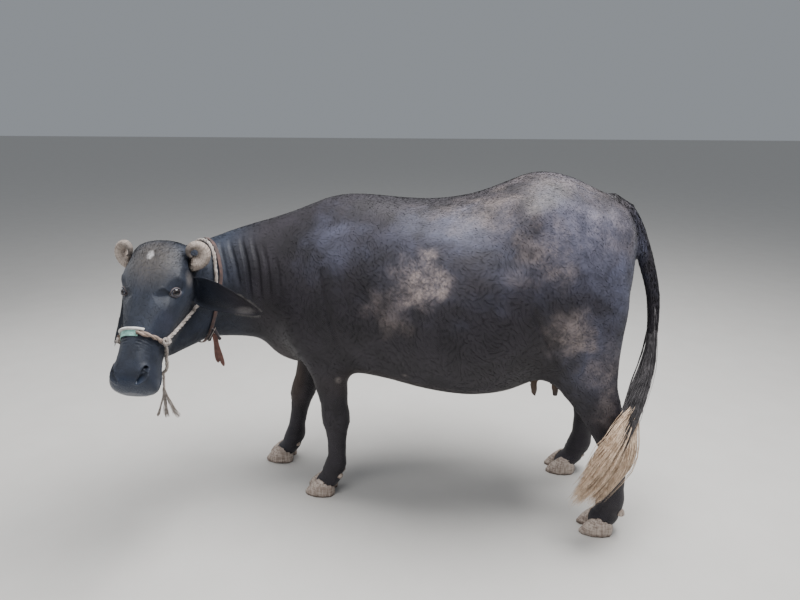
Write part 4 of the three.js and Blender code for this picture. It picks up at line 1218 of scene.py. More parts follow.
# %% [markdown]
# ## Knots
#
# A knot is rope passing over and under itself. Three short loops of the same rope, each
# tilted another way round one middle, read as a knot from every side, and a fourth turn
# of rope inside closes the gap in their middle.

# %% Knots
KNOT_LOOPS = [  # radius, tilt and turn of each loop, in millimetres and radians
    (10.5, 0.3, 0.2), (10.0, 1.25, 1.4), (9.0, 1.45, 2.9), (4.5, 0.8, 0.7)]


def knot(middle, seed):
    rng = np.random.default_rng(seed)
    parts = []
    for reach, tilt, turn in KNOT_LOOPS:
        spin = np.linspace(0, TURN, 26)
        loop = np.stack([np.cos(spin) * reach * 1.15, np.sin(spin) * reach, 1.6 * np.sin(2 * spin)], axis=1)
        turned = Euler((tilt, rng.uniform(-0.2, 0.2), turn)).to_matrix()
        parts.append(laid(middle + loop @ np.array(turned).T * MM, 5.2, 3, 7, 0.3, seed))
    return joined(parts)


knot_pieces = []
for name, seed in (("left", 11), ("right", 12)):
    out_of_face = knots[name] + (LEFT * 6 * SIDES[name] + UP * 2) * MM
    piece = mesh_object("halter_knot_" + name + "_rope", *knot(out_of_face, seed))
    knot_pieces.append(show(piece, ["halter_knot_" + name]))
    print("knot", name, len(piece.data.polygons), "faces")

# %% [markdown]
# ## The tassel
#
# A short end of rope hangs from the jaw rope and frays into a tassel. It is limp and
# hangs free, so it follows its own route. Below the end of the route
# the three strands have come undone into yarns, a few dozen thin wavy threads that spread
# as they fall.

# %% Tassel
TASSEL_ROUTE = [
    (-901, -474, 697), (-901, -474, 693), (-902, -474, 689), (-902, -474, 685), (-902, -474, 681),
    (-903, -474, 677), (-903, -475, 673), (-903, -475, 669), (-903, -475, 665), (-904, -475, 661),
    (-904, -475, 657), (-904, -476, 653), (-904, -476, 649), (-905, -476, 645), (-905, -476, 641),
    (-905, -476, 637)]
TASSEL_RADIUS = 4.5
FRAY = [(-30, -8), (-12, 9), (6, -10), (24, 9), (46, -8)]  # how far the tips of each tuft drift
FRAY_DROP = 104
YARNS, YARN_STEPS = 30, 14
tassel_line = line_through([place(*p) for p in TASSEL_ROUTE], 40)
tassel = mesh_object("halter_tassel", *laid(tassel_line, TASSEL_RADIUS, seed=9))
show(tassel, ["halter_tassel_rope"])


def frayed(seed):
    rng = np.random.default_rng(seed)
    count = len(FRAY) * YARNS
    tips = np.repeat(np.array(FRAY, float), YARNS, axis=0) + rng.normal(0, 3.6, (count, 2))
    share = np.linspace(0, 1, YARN_STEPS)[None, :]
    spread = share ** 1.3
    wave = rng.uniform(0, ANY_PHASE, (count, 1))
    sway = 1.5 * np.sin(share * 11 + wave) * share
    start = rng.normal(0, TASSEL_RADIUS * 0.35, (count, 2))
    x = start[:, :1] + tips[:, :1] * spread + sway
    y = start[:, 1:] + tips[:, 1:] * spread + sway[:, ::-1] * 0.6
    z = 3 - (FRAY_DROP + rng.uniform(-9, 0, (count, 1))) * share
    lines = tassel_line[-1] + np.stack([x, y, z], axis=2) * MM
    across = np.broadcast_to((1.0, 0, 0), lines.shape)
    outward = np.broadcast_to((0, -1.0, 0), lines.shape)
    widths = np.broadcast_to((1.15 - 0.5 * share) * MM * 0.8, (count, YARN_STEPS))
    return quick_mesh("halter_tassel_yarns", *ribbons(lines, across, outward, widths, widths * 0.8))


yarns = frayed(10)
show(yarns, ["halter_tassel_fray"])

# %% [markdown]
# ## The collar
#
# Behind the rope lies a narrow strap, dark partly from grime where it rubs the neck and partly
# as painted shade, for it stands in for the shadow beside the rope. A dark folded tie crosses it
# low on her left, and its split end, still red brown, hangs free below. Most of the loop is
# hidden in the photograph, so it is drawn thin and close to the neck.

# %% Collar
COLLAR_TOP, COLLAR_SIDE = 0.775, 0.735
COLLAR_SLACK, COLLAR_HALF, STRAP_THICK = 2, 7.2, 1.5
TIE_AT = 140  # degrees round the neck, low on her left
TIE_SHIFT = (8, -15, -10)
TIE_LEGS = [((0, 6), (-25, -40), 8.0), ((2, 4), (23, -32), 7.0)]  # sideways and up, top to tip, half width
STRAP_ENDS = [((-3, -12), (-1, -78), (3, -126), 8.5), ((4, -12), (11, -82), (23, -139), 9.5)]
THREAD, THREAD_RADIUS = [(9, 14), (-8, -14), (-25, -40)], 1.1
STRAP_SIDES, HANGING_STEPS = 10, 24


def strap(line, outward, half, thick, closed=False):
    """A flat strip with rounded edges; outward says which way its flat side looks."""
    if closed:
        ahead = np.roll(line, -1, axis=0) - np.roll(line, 1, axis=0)
    else:
        ahead = np.gradient(line, axis=0)
    ahead = units(ahead)
    outward = units(outward - ahead * np.sum(outward * ahead, axis=1, keepdims=True))
    across = np.cross(ahead, outward)
    half = np.broadcast_to(half, len(line))[:, None] * MM
    rings = []
    for angle in np.arange(STRAP_SIDES) / STRAP_SIDES * TURN:
        wide = np.sign(math.cos(angle)) * abs(math.cos(angle)) ** 0.4
        rings.append(line + across * wide * half + outward * math.sin(angle) * thick * MM)
    return np.stack(rings, axis=1).reshape(-1, 3), ring_faces(len(line), STRAP_SIDES, closed)


collar_places = []
for degrees in range(0, 360, 15):
    turn = degrees if degrees <= 180 else degrees - 360
    slack = COLLAR_SLACK * (1 - math.cos(math.radians(turn)))
    collar_places.append(round_neck(COLLAR_TOP, COLLAR_SIDE, turn, STRAP_THICK + 1.5 + slack))
collar_line = line_through(collar_places, 161, True)[:-1]
outward = collar_line - collar_line.mean(axis=0)
collar = mesh_object("collar_strap", *strap(collar_line, outward, COLLAR_HALF, STRAP_THICK, True))
show(collar, ["collar"])
tie_top = round_neck(COLLAR_SIDE, COLLAR_SIDE, TIE_AT, 18) + np.array(TIE_SHIFT) * MM
to_viewer = np.array([0.15, -1.0, 0.1])


def from_tie(spots, forward, count):
    """A line through places given sideways and up from the tie, so far in front of it."""
    return line_through([tie_top + np.array([x, -forward, z]) * MM for x, z in spots], count)


def hanging(spots, half, thick, forward):
    """A strip that hangs from the tie, a little wavy in its run and its width."""
    line = from_tie(spots, forward, HANGING_STEPS)
    share = np.linspace(0, 1, HANGING_STEPS)
    line[:, 1] += 2.0 * np.sin(share * 5 + half) * share * MM
    widths = half * (0.8 + 0.2 * np.sin(share * 7 + half)) * step(1.08, 0.9, share)
    return strap(line, np.tile(to_viewer, (HANGING_STEPS, 1)), widths, thick)


tie_parts = [hanging([top, mix(np.array(top), np.array(tip), 0.5), tip], half, 2.4, 2 + 2 * i)
             for i, (top, tip, half) in enumerate(TIE_LEGS)]
tie = mesh_object("collar_tie", *joined(tie_parts))
show(tie, ["collar_toggle"])
thread = mesh_object("collar_thread", *sweep(from_tie(THREAD, 6, 20), THREAD_RADIUS * MM, 8))
show(thread)
ends = mesh_object("collar_split_end", *joined(
    [hanging(spots, half, STRAP_THICK, i) for i, (*spots, half) in enumerate(STRAP_ENDS)]))
show(ends, ["collar_strap_end"])
print("collar:", round(length_of(collar_line), 2), "m round")

# %% [markdown]
# ## The tail's long hair
#
# From half way down, long black hair hides the tail, and it ends in a pale switch, tan as
# straw. Hair this long has to be real geometry. Each strand is a thin tapered ribbon that
# follows the line of the tail; strands of one lock draw together at the tip and spread
# from the next lock, which is what makes hair look combed by wind and not extruded.

# %% Strands along the tail
TAIL_LINE = [
    (560, 0, 1215), (618, 0, 1216), (672, -5, 1158), (716, -10, 1079), (747, -20, 997),
    (770, -35, 912), (778, -52, 829), (775, -76, 747), (764, -108, 672), (744, -150, 610),
    (718, -195, 556), (688, -245, 498), (660, -284, 440), (628, -305, 372), (588, -315, 303),
    (548, -322, 245)]
STRAND_STEPS = 9
tail_points = line_through([place(*p) for p in TAIL_LINE], 240)
tail_ahead, _, _ = frames_along(tail_points)
tail_across = units(np.cross(tail_ahead, (0, 1, 0.2)))
tail_outward = np.cross(tail_across, tail_ahead)
tail_length = length_of(tail_points)


def on_tail(values, share):
    """Values along the tail, read at shares of its length; shares past 1 keep the last."""
    spots = np.clip(share, 0, 1) * (len(values) - 1)
    low = np.minimum(spots.astype(int), len(values) - 2)
    part = (spots - low)[..., None]
    return values[low] * (1 - part) + values[low + 1] * part


def tail_hair(name, seed, locks, per_lock, start, end, half, depth, width, curl):
    """Locks of strands: start and end are ranges of share of the tail, sizes in mm."""
    rng = np.random.default_rng(seed)
    count = locks * per_lock
    lock = np.repeat(np.arange(locks), per_lock)
    lock_place = (-1 + 2 * (np.arange(locks) + 0.5) / locks + rng.normal(0, 0.08, locks))[lock]
    lock_depth = rng.uniform(-1, 1, locks)[lock]
    lock_end = (rng.uniform(*end, locks) - 0.06 * np.linspace(-1, 1, locks) ** 2)[lock]
    lock_sway = rng.uniform(0, ANY_PHASE, locks)[lock][:, None]
    own = rng.normal(0, 1, (count, 2))
    share = np.linspace(0, 1, STRAND_STEPS)[None, :]
    begin = rng.uniform(*start, count)[:, None]
    finish = (lock_end + rng.normal(0, 0.022, count))[:, None]
    along = begin + (finish - begin) * share
    spread = np.sin(np.minimum(share * 1.15, 1) * math.pi / 2)
    gather = 1 - 0.5 * step(0.55, 1, share)
    sway = curl * (np.sin(along * 38 + lock_sway) + 0.5 * np.sin(along * 90 + own[:, :1] * 3)) * share
    aside = lock_place[:, None] * half * spread + own[:, :1] * half * 0.20 * spread * gather + sway
    rise = lock_depth[:, None] * depth * spread + own[:, 1:] * depth * 0.55 * gather
    across, outward = on_tail(tail_across, along), on_tail(tail_outward, along)
    lines = on_tail(tail_points, along) + across * aside[..., None] * MM + outward * rise[..., None] * MM
    lines += on_tail(tail_ahead, along) * np.maximum(along - 1, 0)[..., None] * tail_length
    taper = np.minimum(step(-0.25, 0.12, share), 1.06 - share ** 2.2)
    widths = width * rng.uniform(0.6, 1.3, (count, 1)) * taper * MM
    return quick_mesh(name, *ribbons(lines, across, outward, widths, widths * 0.4))


black_hair = tail_hair("tail_black_strands", 31, 11, 100, (0.36, 0.63), (0.77, 0.87), 24, 16, 1.6, 2.4)
pale_hair = tail_hair("tail_pale_strands", 32, 15, 120, (0.66, 0.76), (0.985, 1.03), 60, 13, 1.7, 2.6)
CORE = (0.42, 0.76)  # shares of the tail where the bone runs on under the hair
core_share = np.linspace(*CORE, 60)
core_radius = np.interp(core_share, (CORE[0], 0.47, 0.6, CORE[1]), (17, 18.5, 15, 3)) * MM
tail_core = mesh_object("tail_core", *sweep(on_tail(tail_points, core_share), core_radius, 20))
show(tail_core)
show(black_hair, ["tail_black_hair"])
show(pale_hair, ["tail_pale_switch"])
print("tail hair:", len(black_hair.data.polygons) + len(pale_hair.data.polygons), "faces")

# %% [markdown]
# ## A map of the skin
#
# A coat of solid hairs still needs a map for a picture of its colours. Every hair gets a
# tiny patch of its own, at the place where its root stands on an unwrapped skin. The real
# skin has far too many faces to unwrap, so a coarse copy with the same shape is laid flat
# in its place, and each root looks up where it lies on that.

# %% Unwrap a coarse copy of the skin
UNWRAP_GRID = 0.03
coarse_mesh = remeshed("unwrap", FLESH + EARS, UNWRAP_GRID)
coarse = into_scene(bpy.data.objects.new("unwrap", coarse_mesh))
bpy.context.view_layer.objects.active = coarse
coarse.select_set(True)
bpy.ops.object.mode_set(mode="EDIT")
bpy.ops.mesh.select_all(action="SELECT")
bpy.ops.mesh.quads_convert_to_tris()
bpy.ops.uv.smart_project(angle_limit=math.radians(66), island_margin=0.004)
bpy.ops.object.mode_set(mode="OBJECT")
coarse_points = points_of(coarse_mesh)
coarse_faces = rows_of(coarse_mesh.polygons, "vertices", 3, np.int32)
coarse_map = rows_of(coarse_mesh.uv_layers.active.data, "uv", 2).reshape(-1, 3, 2).astype(float)
coarse_tree = BVHTree.FromPolygons(coarse_points.tolist(), coarse_faces.tolist())
bpy.data.objects.remove(coarse)
print("unwrapped", len(coarse_faces), "triangles")


def on_map(roots):
    """Where each root lies on the unwrapped skin."""
    nearest = np.array([coarse_tree.find_nearest(p)[2] for p in roots.tolist()])
    a, b, c = (coarse_points[coarse_faces[nearest, k]] for k in range(3))
    ab, ac, ap = b - a, c - a, roots - a
    d00, d01, d11 = (np.sum(u * v, axis=1) for u, v in ((ab, ab), (ab, ac), (ac, ac)))
    d20, d21 = np.sum(ap * ab, axis=1), np.sum(ap * ac, axis=1)
    whole = np.maximum(d00 * d11 - d01 * d01, 1e-18)
    v = np.clip((d11 * d20 - d01 * d21) / whole, 0, 1)
    w = np.clip((d00 * d21 - d01 * d20) / whole, 0, 1)
    over = np.maximum(v + w, 1)
    v, w = v / over, w / over
    ua, ub, uc = (coarse_map[nearest, k] for k in range(3))
    return ua * (1 - v - w)[:, None] + ub * v[:, None] + uc * w[:, None]


# %% [markdown]
# ## The lie of the coat
#
# Hair has a direction everywhere. On the barrel it runs back and down, on the legs down,
# on the neck from the ears towards the shoulder. On the face a whorl between the eyes
# sends it down to the muzzle on one side and up to the poll on the other. Length and
# thickness change as well: longer along the back and the belly, short and fine on the
# face and feet, and none on the wet muzzle or between the lids.

# %% How the coat lies
WHORL = 135  # along the face from the poll
HAIR_SIZES = {  # length, half width and how many for the same area, against the barrel
    "torso": (6.5, 0.42, 1.0), "neck": (6, 0.4, 1.0), "head": (4.5, 0.32, 2.4), "leg": (6, 0.38, 1.7),
    "tail": (14, 0.5, 2.4), "udder": (5, 0.35, 0.4), "ear": (5, 0.32, 2.6)}
COAT_NAMES = FLESH + EARS
size_table = np.array([HAIR_SIZES[name.split("_")[0]] for name in COAT_NAMES])


def lie_of(spots, local, owners, normals):
    """The direction that the hair takes at each place, along the skin."""
    way = np.tile((1.0, 0.0, -0.12), (len(spots), 1))
    way[:, 2] -= 0.75 * abs(normals[:, 1])
    for i, name in enumerate(COAT_NAMES):
        mine = owners == i
        if name.startswith("leg"):
            down = step(760, 560, spots[mine, 2])[:, None]
            way[mine] = mix(way[mine], np.array((0.15, 0, -1.0)), down)
        elif name == "neck":
            way[mine] = np.array((0.80, 0.35, -0.30)) - np.array((0, 0, 0.4)) * abs(normals[mine, 1:2])
        elif name == "tail_dock":
            way[mine] = (0.25, -0.05, -1.0)
        elif name.startswith("ear"):
            way[mine] = EAR_SHAPES[name][1]
        elif name == "head":
            down_face = np.tanh((local[mine, 0] - WHORL) / 40)
            aside = 0.35 * np.sign(local[mine, 1])
            way[mine] = np.stack([down_face, aside, np.full(len(aside), -0.25)], axis=1) @ HEAD_AXES
    x, y, z = spots.T
    swirl = 0.16 * np.sin(x / 61 + np.sin(z / 83) * 2) + 0.11 * np.sin(z / 37 + y / 47)
    way = units(way - normals * np.sum(way * normals, axis=1, keepdims=True))
    return way + np.cross(normals, way) * swirl[:, None]


print("hair is from", size_table[:, 0].min(), "to", size_table[:, 0].max(), "mm long")

# %% [markdown]
# ## Hairs on the skin
#
# Roots are strewn over the skin by area, from a seeded generator, and each hair is the
# leanest closed solid there is: four corners, three of them at the root and one at the
# tip. It leaves the skin at a low angle and lies over its neighbours. The pieces are kept
# under two hundred thousand triangles each by parting the coat into regions.

# %% Strew the coat
COAT_COUNT = 172000
COAT_SEED = 41
PATCH = 0.0015
LIFT = 0.07  # radians off the skin
TIP_TURN = 0.12  # how far the shading of a hair leans towards its tip
EYE_CLEAR, NOSTRIL_CLEAR = 0.027, 0.022  # metres without hair
BARE_AT, BARE_REACH = (492, 0, -95), (62, 92, 88)
skin_mesh.calc_loop_triangles()
triangles = rows_of(skin_mesh.loop_triangles, "vertices", 3, np.int32)
skin_points, skin_normals = points_of(skin_mesh), normals_of(skin_mesh)
corner_a, corner_b, corner_c = (skin_points[triangles[:, k]] for k in range(3))
areas = np.linalg.norm(np.cross(corner_b - corner_a, corner_c - corner_a), axis=1) / 2
share_of = areas * size_table[owner[triangles[:, 0]], 2]
rng = np.random.default_rng(COAT_SEED)
chosen = rng.choice(len(triangles), COAT_COUNT, p=share_of / share_of.sum())
first, second = np.sqrt(rng.random((COAT_COUNT, 1))), rng.random((COAT_COUNT, 1))
weights = (1 - first, first * (1 - second), first * second)
roots = sum(skin_points[triangles[chosen, k]] * weights[k] for k in range(3))
ups = units(sum(skin_normals[triangles[chosen, k]] * weights[k] for k in range(3)))
root_owner = owner[triangles[chosen, 0]]
local = in_head(roots)
clear = np.ones(COAT_COUNT, bool)
for name in SIDES:
    clear &= distances(roots, eye_axes(name)[0]) > EYE_CLEAR
    clear &= away_from_line(roots, nostril_lines[name])[0] > NOSTRIL_CLEAR
clear &= np.linalg.norm((local - BARE_AT) / BARE_REACH, axis=1) > 1
roots, ups, root_owner, local = roots[clear], ups[clear], root_owner[clear], local[clear]
print("coat:", len(roots), "roots", round(time.time() - started, 1), "s")


def hair_mesh(name, roots, ups, ways, lengths, halves, seed, lift=LIFT):
    """Closed four-cornered hairs, with a patch of the map for each."""
    rng = np.random.default_rng(seed)
    count = len(roots)
    lifts = (lift * rng.uniform(0.5, 1.7, count))[:, None]
    ways = units(ways + np.cross(ups, ways) * rng.normal(0, 0.16, count)[:, None])
    side = np.cross(ups, ways)
    lengths = (lengths * rng.uniform(0.55, 1.25, count))[:, None] * MM
    halves = (halves * rng.uniform(0.7, 1.3, count))[:, None] * MM
    low = roots - ups * 0.4 * MM
    corners = [low + side * halves, low - side * halves, roots + ups * halves * 0.5,
               roots + ways * np.cos(lifts) * lengths + ups * np.sin(lifts) * lengths]
    points = np.stack(corners, axis=1).reshape(-1, 3)
    first = (np.arange(count) * 4)[:, None]
    faces = np.concatenate([first + np.array(face) for face in ((0, 1, 2), (1, 0, 3), (2, 1, 3), (0, 2, 3))])
    piece = quick_mesh(name, points, faces[:, ::-1])
    tips = units(ups + ways * TIP_TURN)
    leanings = np.stack([ups, ups, ups, tips], axis=1).reshape(-1, 3)
    piece.data.normals_split_custom_set_from_vertices(leanings.tolist())
    patch = np.array([(-PATCH, -PATCH), (PATCH, -PATCH), (0, 0), (0, PATCH)])
    give_map(piece, "OFBake", (on_map(roots)[:, None] + patch[None]).reshape(-1, 2))
    return piece


spots = drawn(roots)
ways = lie_of(spots, local, root_owner, ups)
sizes = size_table[root_owner]
root_names = np.array(COAT_NAMES)[root_owner]
body, neck, head = (root_names == name for name in ("torso", "neck", "head"))
leg, ear = (np.char.startswith(root_names, name) for name in ("leg", "ear"))
low_leg = step(430, 160, spots[:, 2]) * leg
crest = step(0.75, 0.97, ups[:, 2]) * (body | neck)
under = step(0.5, 0.9, -ups[:, 2]) * body
poll_hair = step(120, 60, local[:, 0]) * head
near_eye = step(0.075, 0.03, np.minimum(*[distances(roots, eye_axes(name)[0]) for name in SIDES]))
nose = step(300, 420, local[:, 0]) * head
lengths = sizes[:, 0] * (1 - 0.35 * low_leg + 0.6 * crest + 0.4 * under + 1.2 * poll_hair)
lengths *= (1 - 0.45 * near_eye) * (1 - 0.4 * nose)
halves = sizes[:, 1] * (1 - 0.3 * near_eye) * (1 - 0.25 * nose)
regions = {
    "coat_head": head | ear, "coat_neck": neck, "coat_left": body & (spots[:, 1] < 0),
    "coat_right": body & (spots[:, 1] >= 0), "coat_legs": ~(head | ear | body | neck)}
coats = []
for seed, (name, mine) in enumerate(regions.items(), 51):
    piece = hair_mesh(name, roots[mine], ups[mine], ways[mine], lengths[mine], halves[mine], seed)
    coats.append(show(piece))
    print(name, len(piece.data.polygons), "triangles")

# %% [markdown]
# ## Bristles and fringes
#
# Some hair stands out from the rest: pale bristles where the horns leave the skin, and a
# fringe on the rim and tip of each ear, which the low light catches in the photograph.

# %% Bristles and ear fringes
BRISTLES, FRINGE = 1500, 700
EAR_TIP_FROM = 0.6


def tuft(name, parts, length, half, seed, lift):
    """Hairs of one size from groups of roots, outward directions and ways to lie."""
    roots, ups, ways = (np.concatenate(x) for x in zip(*parts))
    sizes = np.full(len(roots), length), np.full(len(roots), half)
    print(name, len(roots), "hairs")
    return show(hair_mesh(name, roots, ups, ways, *sizes, seed, lift))


bristle_parts = []
rng = np.random.default_rng(61)
for name in SIDES:
    line = horn_line(name)
    ahead, side, up = frames_along(line, (0, 0, 1))
    spin = rng.uniform(0, TURN, BRISTLES)
    at = (rng.uniform(0.05, 0.20, BRISTLES) * (HORN_STEPS - 1)).astype(int)
    radius = np.interp(at / (HORN_STEPS - 1), *zip(*HORN_RADII))
    out = side[at] * np.cos(spin)[:, None] + up[at] * np.sin(spin)[:, None]
    bristle_parts.append((line[at] + out * (radius * 0.97)[:, None] * MM, out, ahead[at]))
bristles = tuft("horn_bristles", bristle_parts, 17.0, 0.55, 62, 0.22)
fringe_parts = []
for name in EARS:
    root, ahead, across, back, droop = ear_axes(name)
    t = rng.uniform(EAR_TIP_FROM, 1.0, FRINGE) ** 0.8
    rim = np.where(rng.random(FRINGE) < 0.5, 1.0, -1.0)
    half, depth, _ = np.array([smooth_rows(EAR_SIZES, share) for share in t]).T
    roll = mix(*ROLL, t)
    inward = rng.uniform(0.90, 1.0, FRINGE)
    b = depth * (1 - np.cos(roll * inward)) * CUP
    a = (half - EAR_BELOW_SOLID) * np.sin(roll * inward) / np.sin(roll) * rim
    middle = root + (ahead * t[:, None] * EAR_LENGTH + droop * (t * t)[:, None]) * MM
    spot = middle + (across * a[:, None] + back * b[:, None]) * MM
    out = across * rim[:, None]
    fringe_parts.append((spot, np.tile(-back, (FRINGE, 1)), ahead * 0.75 + out * 0.45))
fringe = tuft("ear_fringe", fringe_parts, 10.0, 0.36, 63, 0.05)
print(round(time.time() - started, 1), "s")

# %% [markdown]
# ## A short way to write materials
#
# A material is a graph of nodes, and a graph is tedious to write out link by link. These
# helpers add a node and fill its inputs, taking either a value or another node's output,
# which also tells them the graph to work in. An effect that several finishes share becomes
# a node group with named sockets; groups give only colours, masks and heights, and each
# material keeps its own shader.

# %% Material helpers
KINDS = {"colour": "NodeSocketColor", "value": "NodeSocketFloat", "vector": "NodeSocketVector"}


def fill(socket, value):
    if isinstance(value, bpy.types.NodeSocket):
        socket.id_data.links.new(value, socket)
    elif hasattr(value, "__len__") and len(value) == 3 and socket.type == "RGBA":
        socket.default_value = (*value, 1)
    else:
        socket.default_value = value


def add(tree, kind, inputs=None, **settings):
    node = tree.nodes.new("ShaderNode" + kind)
    for key, value in settings.items():
        setattr(node, key, value)
    for key, value in (inputs or {}).items():
        fill(node.inputs[key], value)
    return node


def home(*values):
    """The tree of the first of the values that is another node's output."""
    return next(value.id_data for value in values if isinstance(value, bpy.types.NodeSocket))


def maths(operation, *values, clamp=False):
    inputs = dict(enumerate(values))
    return add(home(*values), "Math", inputs, operation=operation, use_clamp=clamp).outputs[0]


def times(a, b, clamp=False):
    return maths("MULTIPLY", a, b, clamp=clamp)


def times_plus(a, b, c):
    return maths("MULTIPLY_ADD", a, b, c)


def vector(operation, a, b=None):
    """Vector maths; b is the scale where the operation is SCALE."""
    node = add(home(a), "VectorMath", {0: a}, operation=operation)
    if b is not None:
        fill(node.inputs["Scale" if operation == "SCALE" else 1], b)
    return node.outputs["Value" if operation in ("LENGTH", "DOT_PRODUCT") else 0]


def parts_of(where):
    return add(home(where), "SeparateXYZ", {0: where}).outputs


def joined_up(*values):
    return add(home(*values), "CombineXYZ", dict(enumerate(values))).outputs[0]


def blended(share, a, b, mode="MIX"):
    node = add(home(share, a, b), "Mix", data_type="RGBA", blend_type=mode)
    for index, value in ((0, share), (6, a), (7, b)):
        fill(node.inputs[index], value)
    return node.outputs[2]


def layered(colour, *layers):
    """Colours laid over each other in turn, each by its own mask."""
    for share, over in layers:
        colour = blended(share, colour, over)
    return colour


def ranged(value, low, high, to_low=0.0, to_high=1.0):
    inputs = {"Value": value, "From Min": low, "From Max": high, "To Min": to_low, "To Max": to_high}
    return add(home(value), "MapRange", inputs, interpolation_type="SMOOTHSTEP").outputs[0]


def mottled(where, scale, detail=3.0, rough=0.55, stretch=None):
    """Noise of one scale; stretch squeezes it along each axis."""
    if stretch:
        where = add(home(where), "Mapping", {"Vector": where, "Scale": stretch}).outputs[0]
    inputs = {"Vector": where, "Scale": scale, "Detail": detail, "Roughness": rough}
    return add(home(where), "TexNoise", inputs).outputs["Fac"]


def weighed(a, share, b, low=0.38, high=0.62):
    """Two noises mixed by weight, and drawn apart into dark and light."""
    return ranged(times_plus(a, share, times(b, 1 - share)), low, high)


def new_group(name, inputs, outputs):
    group = bpy.data.node_groups.new(name, "ShaderNodeTree")
    for label, (kind, start) in inputs.items():
        socket = group.interface.new_socket(label, in_out="INPUT", socket_type=KINDS[kind])
        if start is not None:
            socket.default_value = (*start, 1) if kind == "colour" else start
    for label, kind in outputs.items():
        group.interface.new_socket(label, in_out="OUTPUT", socket_type=KINDS[kind])
    return group, group.nodes.new("NodeGroupInput").outputs, group.nodes.new("NodeGroupOutput").inputs


def use(tree, group, inputs=None):
    node = tree.nodes.new("ShaderNodeGroup")
    node.node_tree = group
    for key, value in (inputs or {}).items():
        fill(node.inputs[key], value)
    return node.outputs


def new_material(name, **plain):
    """A material, its tree and its shader's inputs; plain sets constants on those themselves."""
    material = bpy.data.materials.new(name)
    material.use_nodes = True
    tree = material.node_tree
    shader = tree.nodes["Principled BSDF"]
    for key, value in plain.items():
        fill(shader.inputs[key.replace("_", " ")], value)
    return material, tree, shader.inputs


def bumped(shader, height, strength, distance):
    inputs = {"Height": height, "Strength": strength, "Distance": distance}
    fill(shader["Normal"], add(home(height), "Bump", inputs).outputs[0])


def dress(material, *pieces):
    for piece in pieces:
        piece.data.materials.append(material)


print("sockets can be", ", ".join(KINDS))

# %% [markdown]
# ## Where the hide changes colour
#
# A buffalo is slate black, but never evenly. The back, hips and flank wear a painted sheen,
# a bluish gleam of light laid into the colour; flank and thigh carry pale dust, the belly and
# the inside of the legs are browner, the forehead wears thin grey brown hair round a small white
# star, painted shade lies below and ahead of each eye, and the muzzle is bare and wet. Skin and
# coat have to agree on all this, so one group works out the masks from the place on the body
# alone, and both materials use it.

# %% Markings
DUST_PATCHES = [  # place and reach in the drawing's frame, and strength
    ((-51, -311, 985), (125, 120, 95), 1.0), ((367, -270, 1090), (150, 120, 120), 0.5),
    ((457, -262, 800), (95, 120, 105), 0.7), ((203, -160, 1220), (260, 190, 90), 0.35),
    ((534, -120, 1150), (170, 190, 150), 0.3), ((400, 0, 1310), (260, 220, 110), 0.3),
    ((120, 300, 1010), (260, 130, 130), 0.6), ((430, 260, 1080), (200, 130, 160), 0.5),
    ((600, -238, 640), (70, 90, 150), 0.45), ((-170, -300, 900), (90, 90, 120), 0.35)]
BROWN_PATCHES = [
    ((40, 0, 540), (560, 300, 105), 0.8), ((-634, 108, 430), (60, 60, 150), 0.9),
    ((420, 0, 600), (200, 190, 120), 0.9), ((-560, 0, 640), (120, 120, 110), 0.5),
    ((640, 0, 700), (120, 170, 260), 0.5)]
# Painted sheen: a bluish gleam of the high light, laid into the colour of back, hips and flank
PAINTED_SHEEN_PATCHES = [  # the same on both sides of the body
    ((480, 190, 1120), (240, 190, 190), 1.0), ((610, 130, 980), (150, 170, 260), 0.9),
    ((540, 210, 740), (150, 150, 220), 0.6), ((60, 230, 1150), (340, 130, 120), 0.6),
    ((0, 260, 1000), (270, 120, 150), 0.4), ((300, 230, 1010), (190, 150, 150), 0.6),
    ((430, 0, 1310), (220, 150, 70), 0.3), ((-370, 170, 1110), (190, 120, 150), 0.6),
    ((690, 20, 1050), (70, 60, 190), 0.9)]
# Painted sheen on the cheek as well
CHEEK_PAINTED_SHEEN = ((262, 70, -60), (56, 34, 48), 0.16)
PINK_PATCHES = [((350, -30, 545), (170, 150, 75), 1.0)]
PALE_PATCHES = [((-832, -362, 995), (26, 36, 32), 0.7), ((-650, -344, 884), (42, 30, 15), 0.8)]
EYE_IN_HEAD = tuple(abs(in_head(eye_axes("left")[0])) * (1, 1, -1))
LID_RIM = 20.9  # from the middle of the eye
PALE_NICKS = [((-372, -172, 560), (13, 30, 18), 0.55), ((-105, -262, 632), (16, 30, 9), 0.6),
              ((-372, 172, 560), (13, 30, 18), 0.55), ((205, -215, 560), (12, 30, 7), 0.5)]
WARP = 260  # how far noise pushes the edges of the patches, in millimetres
FOREHEAD_PATCH = ((72, 0, 10), (110, 100, 60), 1.0)
STAR = ((62, -4, 18), (18, 12, 30), 0.8)
BARE_PATCHES = [((492, 0, -86), (52, 76, 66), 1.0), ((480, 0, -140), (46, 70, 30), 0.8)]
EYE_SHADE = ((214, 68, -50), (46, 32, 34), 0.8)
FACE_FROM_TO = (-640, -820)  # where the cooler slate of the face sets in, along the body


def spots_mask(where, rows, soft=(1.25, 0.25)):
    """1 in the middle of each patch, falling to 0 at its reach, from the place alone."""
    total = 0.0
    for centre, reach, strength in rows:
        away = vector("DIVIDE", vector("SUBTRACT", where, centre), reach)
        mask = ranged(vector("LENGTH", away), *soft)
        total = maths("MAXIMUM", total, times(mask, strength))
    return total


def evened(x, y, z):
    """The same place for the left and the right side."""
    return joined_up(x, maths("ABSOLUTE", y), z)


